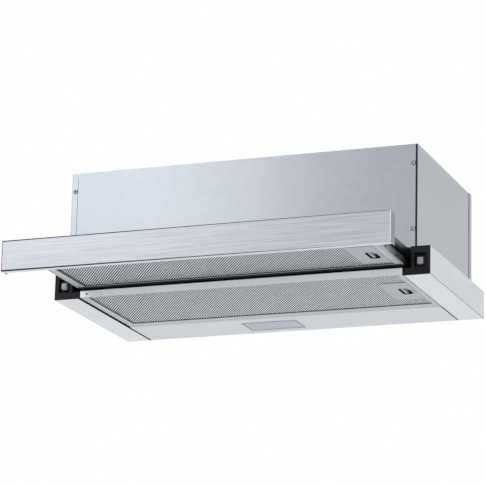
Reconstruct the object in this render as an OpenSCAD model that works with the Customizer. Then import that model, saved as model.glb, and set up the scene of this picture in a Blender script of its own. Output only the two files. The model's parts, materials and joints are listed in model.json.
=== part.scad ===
// Pull-out cooker hood for a 600 mm wall cabinet, millimetres.
// X runs left to right, Y from the front to the back, Z up.
// The origin is the middle of the seating plane, where the hood meets the cabinet's underside.
// The visor is drawn pulled out, which is its rest place.

/* [Overall] */
// Width of the base and of the visor front
overall_w = 598; // [560:1:900]
// Depth of the base, without the visor
base_d = 284; // [270:1:320]
// Height of the base below the cabinet
base_h = 43; // [42:0.5:52]
// Height of the fan box inside the cabinet
box_h = 157; // [154:1:220]
// Width of the ledge on each side of the fan box
ledge_w = 21; // [18:0.5:26]
// Thickness of all folded sheet steel
sheet_t = 0.8; // [0.6:0.1:1]

/* [Fan box] */
// How far the fan box stands behind the front of the base
box_setback = 2; // [1.5:0.5:4]
// How far the floor of the fan box lies below the ledges
floor_sink = 0.6; // [0.5:0.1:0.8]
// Width of the folded edges of the side panels
flange_w = 9.5; // [8:0.5:14]
// How far the back panel wraps round the sides
wrap_w = 12; // [8:1:20]
// Height of the relief under those folds
wrap_rise = 3; // [2.5:0.5:6]
// Height of the folded lips of the top panel
lip_h = 10; // [6:1:16]
// Height of the lower corner screws above the seating plane
screw_low_z = 27.5; // [20:0.5:50]
// Height of the upper corner screws above the seating plane
screw_high_z = 127.7; // [110:0.1:140]

/* [Cabinet fixing] */
// Radius of the holes for the cabinet screws
cabinet_hole_r = 2.5; // [2:0.1:3]
// Distance from the front hole to the back hole of each side
cabinet_hole_span = 200; // [150:1:230]
// Height of those holes above the seating plane
cabinet_hole_z = 9; // [7:0.5:14]

/* [Air outlet] */
// Outer radius of the duct collar
collar_r = 60; // [55:0.5:62]
// Wall of the duct collar
collar_wall = 2; // [1.5:0.1:3]
// Height of the duct collar above the top panel
collar_h = 28; // [22:1:40]
// Distance of the collar axis behind the middle of the base
outlet_y = 28; // [20:1:34]
// Thickness of the collar's foot ring
foot_t = 1.5; // [1:0.1:3]
// Width of the collar's foot ring outside its wall
foot_w = 12; // [11:0.5:16]
// Thickness of the damper flaps
flap_t = 1.2; // [1:0.1:1.6]
// Radius of the damper hinge pin
damper_pin_r = 1.5; // [1.2:0.1:1.8]
// Height of the damper hinge pin above the top panel
damper_z = 10; // [8:0.5:12]

/* [Base] */
// Width of the steel strip under each side
strip_w = 41.2; // [40:0.1:44]
// Height of the upturned inner edge of that strip
strip_lip_h = 11; // [8:0.5:12]
// Width of each black end block
block_w = 28.6; // [28:0.1:30]
// Depth of each black end block
block_d = 28; // [20:1:40]
// Width of the bay for the rail between visor and end block
rail_bay_w = 11.1; // [10.8:0.1:12]
// Depth of the flat light panel at the back
light_panel_d = 88.5; // [80:0.5:88.5]
// Size of the folded front edge of the light panel
light_fold = 1.6; // [1:0.1:1.8]
// Distance from each intake opening to the side of the fan box
intake_side = 38; // [30:1:80]
// Side length of the intake openings from front to back
intake_d = 210; // [160:1:230]
// Half width of the bridge between the intake openings
bridge_half_w = 60; // [56:1:70]

/* [Lamp] */
// Left edge of the lamp from the middle of the hood
lamp_x = -76; // [-120:1:20]
// Width of the lamp
lamp_w = 91; // [60:1:120]
// Depth of the lamp
lamp_d = 50; // [36:1:60]
// Distance from the lamp to the back of the base
lamp_rear_gap = 19; // [12:1:24]
// Width of the visible lamp frame
bezel_w = 1.8; // [1.4:0.1:3]
// How far the lamp frame stands out of the light panel
bezel_t = 0.6; // [0.4:0.1:1]
// Thickness of the lamp cover
lens_t = 2.4; // [1.5:0.1:3]
// Height of the rim of the lamp frame inside the hood
rim_h = 9; // [6:0.5:12]

/* [Switches] */
// Thickness of the face of each end block, which covers the ends of the sheets
cap_t = 1.2; // [0.8:0.1:1.2]
// Depth of the sunk field in that face
cap_sunk = 0.6; // [0.3:0.1:0.8]
// Width of the rim round that field
cap_rim = 1.4; // [1:0.1:2]
// Width of the pocket in each end block
pocket_w = 17.4; // [16:0.1:19]
// Height of the pocket in each end block
pocket_h = 22; // [20:0.1:24]
// Depth of the pocket in each end block
pocket_depth = 8; // [6:0.5:12]
// Distance from the pocket's middle to the outer side
pocket_side = 15.2; // [14.5:0.1:16]
// Distance from the pocket's middle to the underside
pocket_rise = 22; // [20:0.1:24]
// Width of the switch knobs
knob_w = 8.6; // [7:0.1:12]
// Height of the switch knobs
knob_h = 10.8; // [9:0.1:14]
// How far the knobs stand out of the end blocks
knob_proud = 1; // [0:0.1:3]
// How far the knobs rest below the pocket's middle
knob_drop = 0.8; // [0:0.1:1]
// Side of the square knob stems
stem_w = 4; // [3:0.1:5]

/* [Filters] */
// Height of a grease filter
filter_h = 10.2; // [9:0.1:12]
// Height of the lower filter above the underside of the base
filter_rise = 1.3; // [1:0.1:2]
// Gap at each end of a filter
filter_end_gap = 1.4; // [1.2:0.1:1.6]
// Gap between the lower filter and the light panel
filter_rear_gap = 1.1; // [0.8:0.1:2]
// Gap between the front of the base and the lower filter
filter_front_gap = 0.6; // [0.4:0.1:1]
// Depth of the filter in the visor
visor_filter_d = 150; // [130:1:158]
// Gap behind the filter in the visor
visor_filter_gap = 2; // [1:0.1:3]
// Wall of the filter frames
frame_t = 0.8; // [0.6:0.1:1]
// Width of the filter frame at its hinged end
frame_left_w = 14; // [12:0.5:18]
// Width of the filter frame at its latch end
frame_right_w = 8; // [6:0.1:9]
// Width of the filter frame along its front
frame_front_w = 5; // [4:0.5:8]
// Width of the lower filter's frame along its back
base_rear_w = 15; // [12:0.5:20]
// Width of the visor filter's frame along its back
visor_rear_w = 6; // [5:0.5:20]
// Distance from the punched hole to the hinged end of the lower filter
punch_side = 10.8; // [8:0.2:20]
// Side of the punched hole
punch_w = 2.6; // [2:0.1:4]
// Thickness of one layer of filter mesh
mesh_t = 1.2; // [0.8:0.1:1.6]
// Width of a latch plate
latch_w = 43; // [40:0.5:46]
// Length of the latch plate of the lower filter
latch_d = 95; // [60:1:110]
// Distance from the back of the lower filter to its finger slot's middle
base_slot_back = 97.3; // [60:0.1:110]
// How far the lower finger slot sits behind the middle of its latch plate
base_slot_off = 1; // [0:0.5:4]
// Length of the latch plate of the visor filter
visor_latch_d = 89; // [60:1:100]
// Distance from the front of the base to the visor filter's finger slot
visor_slot_out = 62; // [52:1:90]
// How far the visor's finger slot sits behind the middle of its latch plate
visor_slot_off = 4.5; // [0:0.5:6]
// Width of the finger slot
slot_w = 15.5; // [14:0.5:18]
// Radius of the finger slot's corners
slot_r = 4; // [2:0.5:6]
// Length of the finger slot
slot_d = 34; // [30:0.5:38]
// Distance from the finger slot's middle to the filter's latch end
slot_in = 24.5; // [23:0.5:26]
// Width of the latch grip
grip_w = 4.6; // [4:0.1:5]
// Length of the latch grip
grip_d = 26; // [18:0.5:26]
// How far the latch grip sits left of the finger slot's middle
grip_shift = 1.5; // [0:0.1:1.5]
// Radius of the filter hinge rods
hinge_r = 1.2; // [1:0.05:1.4]

/* [Visor] */
// How far the visor front stands in front of the base at rest
visor_open = 187; // [175:1:200]
// Depth of the hollow visor front
fascia_d = 20; // [18:0.5:26]
// Depth of the folded upper and lower edges of the visor front
fascia_lip = 11; // [8:0.5:16]
// How far the visor front reaches above the seating plane
fascia_rise = 1.3; // [0.5:0.1:3]
// How far the visor front reaches below the base
fascia_drop = 2.4; // [1:0.1:6]
// Free height between the two filters
visor_clear = 4; // [3.5:0.1:5]
// How far the tray reaches into the base when pulled out
tray_overlap = 8; // [4:1:14]
// Height of the outer rail
rail_h = 11; // [10:0.1:12]
// Distance from the rail's middle to the seating plane
rail_below = 9; // [8:0.1:10]
// Gap between the web of an inner rail and the underside of the tray
rail_web_gap = 1.5; // [0.5:0.5:4]
// Distance from the front of the base to the rear tray rivets
rivet_out = 36; // [20:1:50]
// Distance between the tray rivets
rivet_span = 52; // [30:1:80]
// Wall of the rail profiles
rail_t = 1; // [0.8:0.1:1.2]
// Length of the middle rails
rail_mid_l = 260; // [230:1:262]

/* [Fan] */
// Outer radius of the impeller
fan_r = 52; // [46:1:54]
// Half length of the impeller
fan_half_l = 44; // [36:1:46]
// Half width of the scroll housing
scroll_half_w = 50; // [48:1:54]
// Smallest radius of the scroll
scroll_r_min = 58; // [57:0.5:60]
// Largest radius of the scroll
scroll_r_max = 86; // [80:0.5:88]
// Wall of the scroll housing
scroll_wall = 2; // [1.6:0.1:3]
// Depth of the mouth of the scroll
mouth_d = 64; // [56:1:70]
// Height of the fan axis above the seating plane
fan_z = 79.5; // [79:0.5:82]
// Radius of the air inlets of the scroll
inlet_r = 46; // [42:1:47]
// Number of impeller blades
blade_count = 30; // [18:1:40]
// Radius of the motor
motor_r = 30; // [24:1:36]
// Length of the motor
motor_l = 44; // [36:1:45]
// Radius of the motor shaft
shaft_r = 4; // [3:0.1:6]

/* [Electric parts] */
// Distance from the cord gland to the right side of the fan box
gland_side = 78; // [50:1:100]
// Distance from the cord gland to the back of the fan box
gland_rear = 54; // [40:1:70]
// Distance from the capacitor to the right side of the fan box
capacitor_side = 148; // [120:1:190]
// Distance from the capacitor to the front of the base
capacitor_front = 80; // [40:1:90]
// Distance from the visor switch to the side of the tray
visor_switch_in = 3.5; // [2:0.5:20]

/* [Fits] */
// Radial clearance of running pins and shafts
run_c = 0.05; // [0.02:0.01:0.08]
// Clearance between sliding rails
rail_c = 0.3; // [0.25:0.05:0.35]
// Gap between the end blocks and the brackets behind them
panel_c = 0.5; // [0.3:0.1:0.8]
// Gap at each end of the light panel
panel_side_gap = 1.2; // [0.4:0.1:1.4]
// Distance that stays open when the visor is shut
shut_gap = 0.5; // [0.3:0.1:1]
// Radial clearance of screws in their holes
screw_c = 0.1; // [0.05:0.05:0.2]
// Radius of the screw shanks
screw_r = 1.5; // [1.2:0.1:2]
// Radius of the screw heads
head_r = 2.8; // [2.4:0.1:3.4]
// Height of the screw heads
head_h = 1.6; // [1:0.1:2.4]
// Length of the screw shanks
screw_l = 9; // [7:0.5:12]

/* [Hidden] */
$fn = 48;
cut = 0.5;

half_w = overall_w / 2;
box_half_w = half_w - ledge_w;
y_front = -base_d / 2;
y_rear = base_d / 2;
z_under = -base_h;

// Fan box planes
box_y = y_front + box_setback;
front_panel_y = box_y + sheet_t;
inner_x = box_half_w - sheet_t;
inner_front_y = front_panel_y + sheet_t;
inner_rear_y = y_rear - sheet_t;
ceiling_z = box_h - sheet_t;
corner_screw_x = box_half_w - 0.63 * flange_w;
corner_screw_z = [screw_low_z, screw_high_z];
top_lip_z = ceiling_z - lip_h;
cabinet_hole_y = [-cabinet_hole_span / 2, cabinet_hole_span / 2];

// Base planes
ledge_under = -sheet_t;
floor_z = -floor_sink;
deck_under = floor_z - sheet_t;
step_x = box_half_w + sheet_t;
channel_y = y_front + cap_t;
strip_x = half_w - strip_w;
block_outer_x = half_w - sheet_t;
block_x = block_outer_x - block_w;
tray_x = block_x - rail_bay_w;
ear_x = strip_x + sheet_t + 0.2;
light_y = y_rear - light_panel_d;
light_lip_y = light_y - light_fold;
intake_w = box_half_w - intake_side - bridge_half_w;
intake_x = bridge_half_w + intake_w / 2;
pocket_x = half_w - pocket_side;
pocket_z = z_under + pocket_rise;
knob_z = pocket_z - knob_drop;
stem_end_y = block_d + 7;
stem_slot_h = pocket_h - knob_h + stem_w + 1;
switch_d = 22;
switch_below = 13;
switch_above = 9;

// Filter places
filter_half_w = strip_x - filter_end_gap;
base_filter_y = y_front + filter_front_gap;
base_filter_d = light_lip_y - filter_rear_gap - base_filter_y;
base_filter_z = z_under + filter_rise;
visor_z = base_filter_z + filter_h + visor_clear;
visor_filter_y = y_front - visor_filter_gap - visor_filter_d;
base_slot_y = base_filter_y + base_filter_d - base_slot_back;
visor_slot_y = y_front - visor_slot_out;
base_latch_y = base_slot_y - base_slot_off - latch_d / 2;
visor_latch_y = visor_slot_y - visor_slot_off - visor_latch_d / 2;
slot_x = filter_half_w - slot_in;
grip_x = slot_x - grip_shift;
latch_right_x = filter_half_w - frame_right_w - 1;
latch_left_x = latch_right_x - latch_w;
hinge_in = 1.8;
hinge_up = 1.9;
hinge_x = -filter_half_w + hinge_in;
lug_r = 2.6;
lug_t = 1.2;
lug_slot = 2;
lug_inset = 20;
rod_l = 14;
tongue_w = 9;
tongue_t = 2;
tongue_z = 3.4;
tongue_end = filter_half_w + 0.8;
cup_wall = 0.8;
cup_top_gap = 0.4;
dip_d = 24;
dip_t = 0.4;
dip_r = 5;
dip_edge = 1.5;
dip_w = latch_right_x - dip_edge - slot_x;
dip_x = slot_x + dip_w / 2;
cup_h = filter_h - 2 * frame_t - mesh_t - cup_wall - cup_top_gap;
grip_h = 6;

// Visor places
fascia_y = y_front - visor_open;
fascia_back_y = fascia_y + fascia_d;
fascia_z = z_under - fascia_drop;
fascia_top = fascia_rise;
travel = visor_open - fascia_d - shut_gap;
tray_front_y = fascia_y + sheet_t;
tray_rear_y = y_front + tray_overlap;
tray_top = deck_under - 0.6;
tray_bar_h = 4.5;
rivet_y = [y_front - rivet_out - rivet_span, y_front - rivet_out];
rivet_r = 2;
rivet_z = visor_z + 2.75 * rivet_r;
rivet_head = 0.8;
rail_z = -rail_below;
rail_out_y = y_front + 1;
rail_out_l = base_d - 22;
rail_in_front = fascia_back_y - 3;
rail_in_l = 255;
rail_mid_front = y_front - 95;
bracket_drop = 17;
bracket_top_w = 7;

// Air outlet
collar_bore = collar_r - collar_wall;
pin_z = box_h + damper_z;
flap_r = collar_bore - 1.5;
flap_edge = 4;
knuckle_r = damper_pin_r + 1.2;
knuckle_l = 20;
ledge_r = collar_bore - 4;
outlet_screw_r = collar_r + 6;
outlet_screw_angle = 45;
outlet_hole_r = collar_r - 1;

// Fan
mouth_y0 = outlet_y - mouth_d / 2;
mouth_y1 = outlet_y + mouth_d / 2;
fan_y = mouth_y1 - scroll_r_max;
tongue_angle = 40;
scroll_step = 8;
mouth_flange_t = 2.5;
mouth_flange_half = 56;
blade_t = 1.2;
blade_in_r = fan_r - 10;
disc_t = 2;
hub_r = 10;
hub_l = 14;
motor_x = scroll_half_w - motor_l;
motor_boss_r = 11;
motor_boss_l = 8;
bracket_t = 2;
arm_w = 12;
arm_angles = [90, 210, 330];
arm_r = inlet_r + 10;
motor_screw_r = 22;
bracket_screw_r = inlet_r + 5;
bracket_screw_l = 6;

// Electric parts
gland_pos = [box_half_w - gland_side, y_rear - gland_rear];
gland_bore_r = 4.2;
gland_hole_r = 8;
gland_flange_r = 12;
gland_up = 12;
gland_down = 10;
terminal_w = 80;
terminal_d = 60;
terminal_h = 34;
terminal_wall = 2;
capacitor_pos = [box_half_w - capacitor_side, y_front + capacitor_front];
capacitor_r = 14;
capacitor_h = 46;
capacitor_stud = 8;
visor_switch_w = 10;
visor_switch_x = tray_x - visor_switch_in - visor_switch_w;
visor_switch_d = 22;
visor_switch_h = 12;

steel = [0.78, 0.79, 0.81];
pale_steel = [0.86, 0.87, 0.88];
aluminium = [0.68, 0.69, 0.71];
mesh_grey = [0.55, 0.56, 0.58];
black = [0.10, 0.10, 0.11];
silver = [0.62, 0.63, 0.65];
pale_plastic = [0.80, 0.83, 0.86];
housing_grey = [0.35, 0.36, 0.38];
zinc = [0.70, 0.70, 0.70];

// A block given by its lowest and highest corners
module block(low, high) {
    translate(low) cube(high - low);
}

// A cylinder along X that starts at its low end
module rod_x(low, length, r) {
    translate(low) rotate([0, 90, 0]) cylinder(r = r, h = length);
}

// A cylinder along Y that starts at its front end
module rod_y(low, length, r) {
    translate(low) rotate([-90, 0, 0]) cylinder(r = r, h = length);
}

// A cylinder along Z that starts at its low end
module rod_z(low, length, r) {
    translate(low) cylinder(r = r, h = length);
}

// A YZ outline swept from one X to another
module sweep_x(x0, x1, outline) {
    translate([x0, 0, 0]) rotate([90, 0, 90]) linear_extrude(x1 - x0) polygon(outline);
}

// An XZ outline swept from one Y to another
module sweep_y(y0, y1, outline) {
    translate([0, y1, 0]) rotate([90, 0, 0]) linear_extrude(y1 - y0) polygon(outline);
}

// The four places on the box front or back where the corner screws go
module at_corner_screws() {
    for (side = [-1, 1], z = corner_screw_z) translate([side * corner_screw_x, 0, z]) children();
}

// Fan box

module front_panel() {
    color(steel) difference() {
        block([-inner_x, front_panel_y, floor_z], [inner_x, inner_front_y, box_h]);
        at_corner_screws() rod_y([0, front_panel_y - cut, 0], sheet_t + 2 * cut, screw_r + screw_c);
    }
}

// The right-hand side panel with its folded edges; the front edge is mitred at the top
module side_panel() {
    flange_x = box_half_w - flange_w;
    color(steel) difference() {
        union() {
            block([inner_x, box_y, floor_z], [box_half_w, inner_rear_y, box_h]);
            sweep_y(box_y, front_panel_y, [[flange_x, floor_z], [box_half_w, floor_z], [box_half_w, box_h],
                [inner_x, box_h], [flange_x, box_h - flange_w + sheet_t]]);
            block([flange_x, inner_rear_y - sheet_t, floor_z],
                [box_half_w, inner_rear_y, ceiling_z - lip_h]);
        }
        at_corner_screws() rod_y([0, box_y - cut, 0], base_d + 2 * cut, screw_r + screw_c);
        for (y = cabinet_hole_y)
            rod_x([inner_x - cut, y, cabinet_hole_z], sheet_t + 2 * cut, cabinet_hole_r);
    }
}

module right_side_panel() {
    side_panel();
}

module left_side_panel() {
    mirror([1, 0, 0]) side_panel();
}

// The back panel; its folded sides wrap the side panels and stop just above the ledges
module back_panel() {
    outer_x = box_half_w + sheet_t;
    color(steel) difference() {
        union() {
            block([-box_half_w, inner_rear_y, floor_z], [box_half_w, y_rear, box_h]);
            for (side = [0, 1]) mirror([side, 0, 0])
                block([box_half_w, y_rear - wrap_w, wrap_rise], [outer_x, y_rear, box_h]);
        }
        at_corner_screws() rod_y([0, inner_rear_y - cut, 0], sheet_t + 2 * cut, screw_r + screw_c);
    }
}

module top_panel() {
    color(steel) difference() {
        block([-inner_x, inner_front_y, top_lip_z], [inner_x, inner_rear_y, box_h]);
        block([-inner_x + sheet_t, inner_front_y + sheet_t, top_lip_z - cut],
            [inner_x - sheet_t, inner_rear_y - sheet_t, ceiling_z]);
        rod_z([0, outlet_y, ceiling_z - cut], sheet_t + 2 * cut, outlet_hole_r);
        at_outlet_screws() rod_z([0, 0, ceiling_z - cut], sheet_t + 2 * cut, screw_r + screw_c);
        rod_z([gland_pos[0], gland_pos[1], ceiling_z - cut], sheet_t + 2 * cut, gland_hole_r);
    }
}

// Air outlet

module at_outlet_screws() {
    for (k = [0 : 3])
        translate([0, outlet_y, 0]) rotate([0, 0, outlet_screw_angle + 90 * k])
            translate([outlet_screw_r, 0, 0]) children();
}

module outlet_collar() {
    color(housing_grey) difference() {
        union() {
            rod_z([0, outlet_y, box_h], foot_t, collar_r + foot_w);
            rod_z([0, outlet_y, box_h], collar_h, collar_r);
        }
        rod_z([0, outlet_y, pin_z - flap_t / 2 - 0.2], collar_h, collar_bore);
        rod_z([0, outlet_y, box_h - cut], collar_h, ledge_r);
        rod_z([0, outlet_y, box_h - cut], damper_z - flap_t / 2 - 2, collar_bore);
        rod_x([-collar_r - cut, outlet_y, pin_z], 2 * collar_r + 2 * cut, damper_pin_r + run_c);
        at_outlet_screws() rod_z([0, 0, box_h - cut], foot_t + 2 * cut, screw_r + screw_c);
    }
}

module damper_pin() {
    pin_half = collar_r - 0.5;
    color(zinc) rod_x([-pin_half, outlet_y, pin_z], 2 * pin_half, damper_pin_r);
}

// The flap behind the pin; its knuckles start at the listed X places
module flap(knuckles) {
    color(housing_grey) difference() {
        union() {
            intersection() {
                rod_z([0, outlet_y, pin_z - flap_t / 2], flap_t, flap_r);
                block([-flap_r, outlet_y + flap_edge, pin_z - flap_t],
                    [flap_r, outlet_y + flap_r, pin_z + flap_t]);
            }
            for (x = knuckles) {
                rod_x([x + 0.2, outlet_y, pin_z], knuckle_l - 0.4, knuckle_r);
                block([x + 0.2, outlet_y, pin_z - flap_t / 2],
                    [x + knuckle_l - 0.2, outlet_y + flap_edge + 1, pin_z + flap_t / 2]);
            }
        }
        rod_x([-collar_r, outlet_y, pin_z], 2 * collar_r, damper_pin_r + run_c);
    }
}

module rear_flap() {
    flap([-2 * knuckle_l, 0]);
}

module front_flap() {
    translate([0, 2 * outlet_y, 0]) mirror([0, 1, 0]) flap([-knuckle_l, knuckle_l]);
}

module collar_screws() {
    color(zinc) at_outlet_screws() {
        rod_z([0, 0, box_h + foot_t], head_h, head_r);
        rod_z([0, 0, box_h + foot_t - screw_l], screw_l, screw_r);
    }
}

// Base

// The top of the base: the seat on the cabinet, and the floor of the fan box, pressed down inside it
module deck_panel() {
    color(pale_steel) difference() {
        union() {
            difference() {
                block([-block_outer_x, y_front, ledge_under], [block_outer_x, inner_rear_y, 0]);
                block([-box_half_w, box_y, ledge_under - cut], [box_half_w, y_rear, cut]);
            }
            block([-step_x, box_y - sheet_t, deck_under], [step_x, inner_rear_y, floor_z]);
            block([-inner_x, inner_front_y, floor_z], [inner_x, inner_front_y + sheet_t, lip_h]);
            block([-inner_x + flange_w, inner_rear_y - sheet_t, floor_z],
                [inner_x - flange_w, inner_rear_y, lip_h]);
        }
        for (side = [-1, 1])
            block([side * intake_x - intake_w / 2, -intake_d / 2, deck_under - cut],
                [side * intake_x + intake_w / 2, intake_d / 2, cut]);
        // room for the faces of the end blocks
        for (side = [0, 1]) mirror([side, 0, 0])
            block([block_x, y_front - cut, deck_under - cut], [half_w, channel_y, cut]);
    }
}

// The right-hand side channel: outer wall, underside strip, upturned edge and rear end
module side_channel() {
    color(pale_steel) {
        block([half_w - sheet_t, channel_y, z_under], [half_w, y_rear, 0]);
        block([strip_x, channel_y, z_under], [half_w, y_rear, z_under + sheet_t]);
        block([strip_x, channel_y, z_under], [strip_x + sheet_t, y_rear, z_under + strip_lip_h]);
        block([strip_x, inner_rear_y, z_under], [half_w, y_rear, ledge_under]);
    }
}

// Lugs that carry a filter's hinge rods, on the wall at wall_x
module hinge_lugs(wall_x, filter_y, filter_d, filter_z) {
    axis_z = filter_z + hinge_up;
    for (y = [filter_y + lug_inset, filter_y + filter_d - lug_inset])
        difference() {
            union() {
                rod_y([hinge_x, y - lug_t / 2, axis_z], lug_t, lug_r);
                block([wall_x, y - lug_t / 2, axis_z - lug_r + 0.4],
                    [hinge_x, y + lug_t / 2, axis_z + lug_r]);
            }
            rod_y([hinge_x, y - lug_t, axis_z], 2 * lug_t, hinge_r + run_c);
        }
}

module right_side_channel() {
    side_channel();
}

module left_side_channel() {
    color(pale_steel) {
        mirror([1, 0, 0]) side_channel();
        hinge_lugs(-strip_x - sheet_t / 2, base_filter_y, base_filter_d, base_filter_z);
    }
}

// The right-hand end block: a moulded shell with a raised rim, a ridge, and a pocket for the knob
module end_block() {
    ridge_near = 2.4;
    ridge_far = 3.6;
    wall = 2;
    low_z = z_under + sheet_t;
    high_z = deck_under;
    ear_top = z_under + strip_lip_h;
    back_y = y_front + block_d;
    color(black) difference() {
        union() {
            block([block_x, y_front + cap_t / 2, low_z], [block_outer_x, back_y, high_z]);
            block([step_x + 0.2, y_front + cap_t / 2, high_z - cut], [block_outer_x, back_y, ledge_under]);
            block([ear_x, y_front + cap_t / 2, low_z], [block_x + cut, back_y, ear_top]);
            block([block_x, y_front, z_under], [half_w, y_front + cap_t, 0]);
            block([strip_x, y_front, z_under], [block_x + cut, y_front + cap_t, ear_top]);
        }
        // sunk field inside the rim
        block([block_x + ridge_far, y_front - cut, z_under + cap_rim],
            [half_w - cap_rim, y_front + cap_sunk, -cap_rim]);
        block([strip_x + cap_rim, y_front - cut, z_under + cap_rim],
            [block_x + ridge_near, y_front + cap_sunk, ear_top - cap_rim]);
        // pocket
        block([pocket_x - pocket_w / 2, y_front - cut, pocket_z - pocket_h / 2],
            [pocket_x + pocket_w / 2, y_front + pocket_depth, pocket_z + pocket_h / 2]);
        // slot for the knob stem
        block([pocket_x - stem_w / 2 - 0.5, y_front, pocket_z - stem_slot_h / 2],
            [pocket_x + stem_w / 2 + 0.5, back_y, pocket_z + stem_slot_h / 2]);
        // hollow back
        block([block_x + wall, y_front + pocket_depth + wall, low_z + wall],
            [block_outer_x - wall, back_y + cut, high_z - wall]);
    }
}

module right_end_block() {
    end_block();
}

module left_end_block() {
    mirror([1, 0, 0]) end_block();
}

module light_panel() {
    low = z_under;
    panel_x = strip_x - panel_side_gap;
    bend = 0.4 * sheet_t;
    lip_top = low + strip_lip_h;
    x0 = lamp_x + bezel_w;
    x1 = lamp_x + lamp_w - bezel_w;
    y1 = y_rear - lamp_rear_gap - bezel_w;
    y0 = y_rear - lamp_rear_gap - lamp_d + bezel_w;
    color(pale_steel) difference() {
        sweep_x(-panel_x, panel_x, [[light_y, low], [y_rear, low], [y_rear, ledge_under],
            [inner_rear_y, ledge_under], [inner_rear_y, low + sheet_t],
            [light_y + bend, low + sheet_t], [light_lip_y + sheet_t, low + light_fold + bend],
            [light_lip_y + sheet_t, lip_top], [light_lip_y, lip_top], [light_lip_y, low + light_fold]]);
        block([x0, y0, low - cut], [x1, y1, low + sheet_t + cut]);
    }
}

// Lamp

module lamp_frame() {
    fit = 0.1;
    rim_t = 1.2;
    low = z_under;
    y1 = y_rear - lamp_rear_gap;
    y0 = y1 - lamp_d;
    in_w = bezel_w + fit;
    hole = bezel_w + fit + rim_t;
    color(silver) difference() {
        union() {
            block([lamp_x, y0, low - bezel_t], [lamp_x + lamp_w, y1, low]);
            block([lamp_x + in_w, y0 + in_w, low - bezel_t],
                [lamp_x + lamp_w - in_w, y1 - in_w, low + rim_h]);
        }
        block([lamp_x + hole, y0 + hole, low - bezel_t - cut],
            [lamp_x + lamp_w - hole, y1 - hole, low + rim_h + cut]);
    }
}

module lamp_lens() {
    inset = bezel_w + 0.1 + 1.2 + 0.1;
    y1 = y_rear - lamp_rear_gap;
    y0 = y1 - lamp_d;
    color(pale_plastic) block([lamp_x + inset, y0 + inset, z_under - bezel_t / 2],
        [lamp_x + lamp_w - inset, y1 - inset, z_under - bezel_t / 2 + lens_t]);
}

module lamp_board() {
    y1 = y_rear - lamp_rear_gap;
    y0 = y1 - lamp_d;
    edge = bezel_w + 0.1;
    board_z = z_under + rim_h;
    board_t = 1.6;
    chip = 3;
    color("white") {
        block([lamp_x + edge, y0 + edge, board_z], [lamp_x + lamp_w - edge, y1 - edge, board_z + board_t]);
        for (k = [0 : 5])
            block([lamp_x + lamp_w * (k + 0.9) / 6.8, (y0 + y1) / 2 - chip / 2, board_z - 1],
                [lamp_x + lamp_w * (k + 0.9) / 6.8 + chip, (y0 + y1) / 2 + chip / 2, board_z]);
    }
}

// Rails

module rail_brackets() {
    y0 = y_front + block_d + panel_c;
    y1 = rail_out_y + rail_out_l;
    color(pale_steel) for (side = [0, 1]) mirror([side, 0, 0]) {
        block([block_x, y0, deck_under - bracket_drop], [block_x + sheet_t, y1, deck_under]);
        block([block_x, y0, deck_under - sheet_t], [block_x + bracket_top_w, y1, deck_under]);
    }
}

// A channel profile open towards the middle of the hood, or away from it
module rail_profile(back_x, edge_x, half_h, y0, length) {
    inner = back_x > edge_x ? back_x - rail_t : back_x + rail_t;
    sweep_y(y0, y0 + length, [[back_x, rail_z - half_h], [edge_x, rail_z - half_h],
        [edge_x, rail_z - half_h + rail_t], [inner, rail_z - half_h + rail_t],
        [inner, rail_z + half_h - rail_t], [edge_x, rail_z + half_h - rail_t],
        [edge_x, rail_z + half_h], [back_x, rail_z + half_h]]);
}

module outer_rail() {
    color(black) rail_profile(block_x, tray_x + 1.9, rail_h / 2, rail_out_y, rail_out_l);
}

module middle_rail() {
    color(black) rail_profile(block_x - rail_t - rail_c, tray_x + 2.5,
        rail_h / 2 - rail_t - rail_c, rail_mid_front, rail_mid_l);
}

// The inner rail, whose web reaches down the wall of the tray and is riveted to it
module inner_rail() {
    color(black) difference() {
        union() {
            rail_profile(tray_x, block_x - 2 * rail_t - 2 * rail_c,
                rail_h / 2 - 2 * rail_t - 2 * rail_c, rail_in_front, rail_in_l);
            block([tray_x, rail_in_front, visor_z + rail_web_gap],
                [tray_x + rail_t, rail_in_front + rail_in_l, rail_z]);
        }
        for (y = rivet_y) rod_x([tray_x - cut, y, rivet_z], rail_t + 2 * cut, rivet_r / 2);
    }
}

module right_outer_rail() {
    outer_rail();
}

module left_outer_rail() {
    mirror([1, 0, 0]) outer_rail();
}

module right_middle_rail() {
    middle_rail();
}

module left_middle_rail() {
    mirror([1, 0, 0]) middle_rail();
}

module right_inner_rail() {
    inner_rail();
}

module left_inner_rail() {
    mirror([1, 0, 0]) inner_rail();
}

// Visor

module visor_front() {
    color(steel) difference() {
        block([-half_w, fascia_y, fascia_z], [half_w, fascia_back_y, fascia_top]);
        block([-half_w + sheet_t, fascia_y + sheet_t, fascia_z + sheet_t],
            [half_w - sheet_t, fascia_back_y + cut, fascia_top - sheet_t]);
        block([-half_w + sheet_t, fascia_y + fascia_lip, fascia_z - cut],
            [half_w - sheet_t, fascia_back_y + cut, fascia_top + cut]);
    }
}

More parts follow.
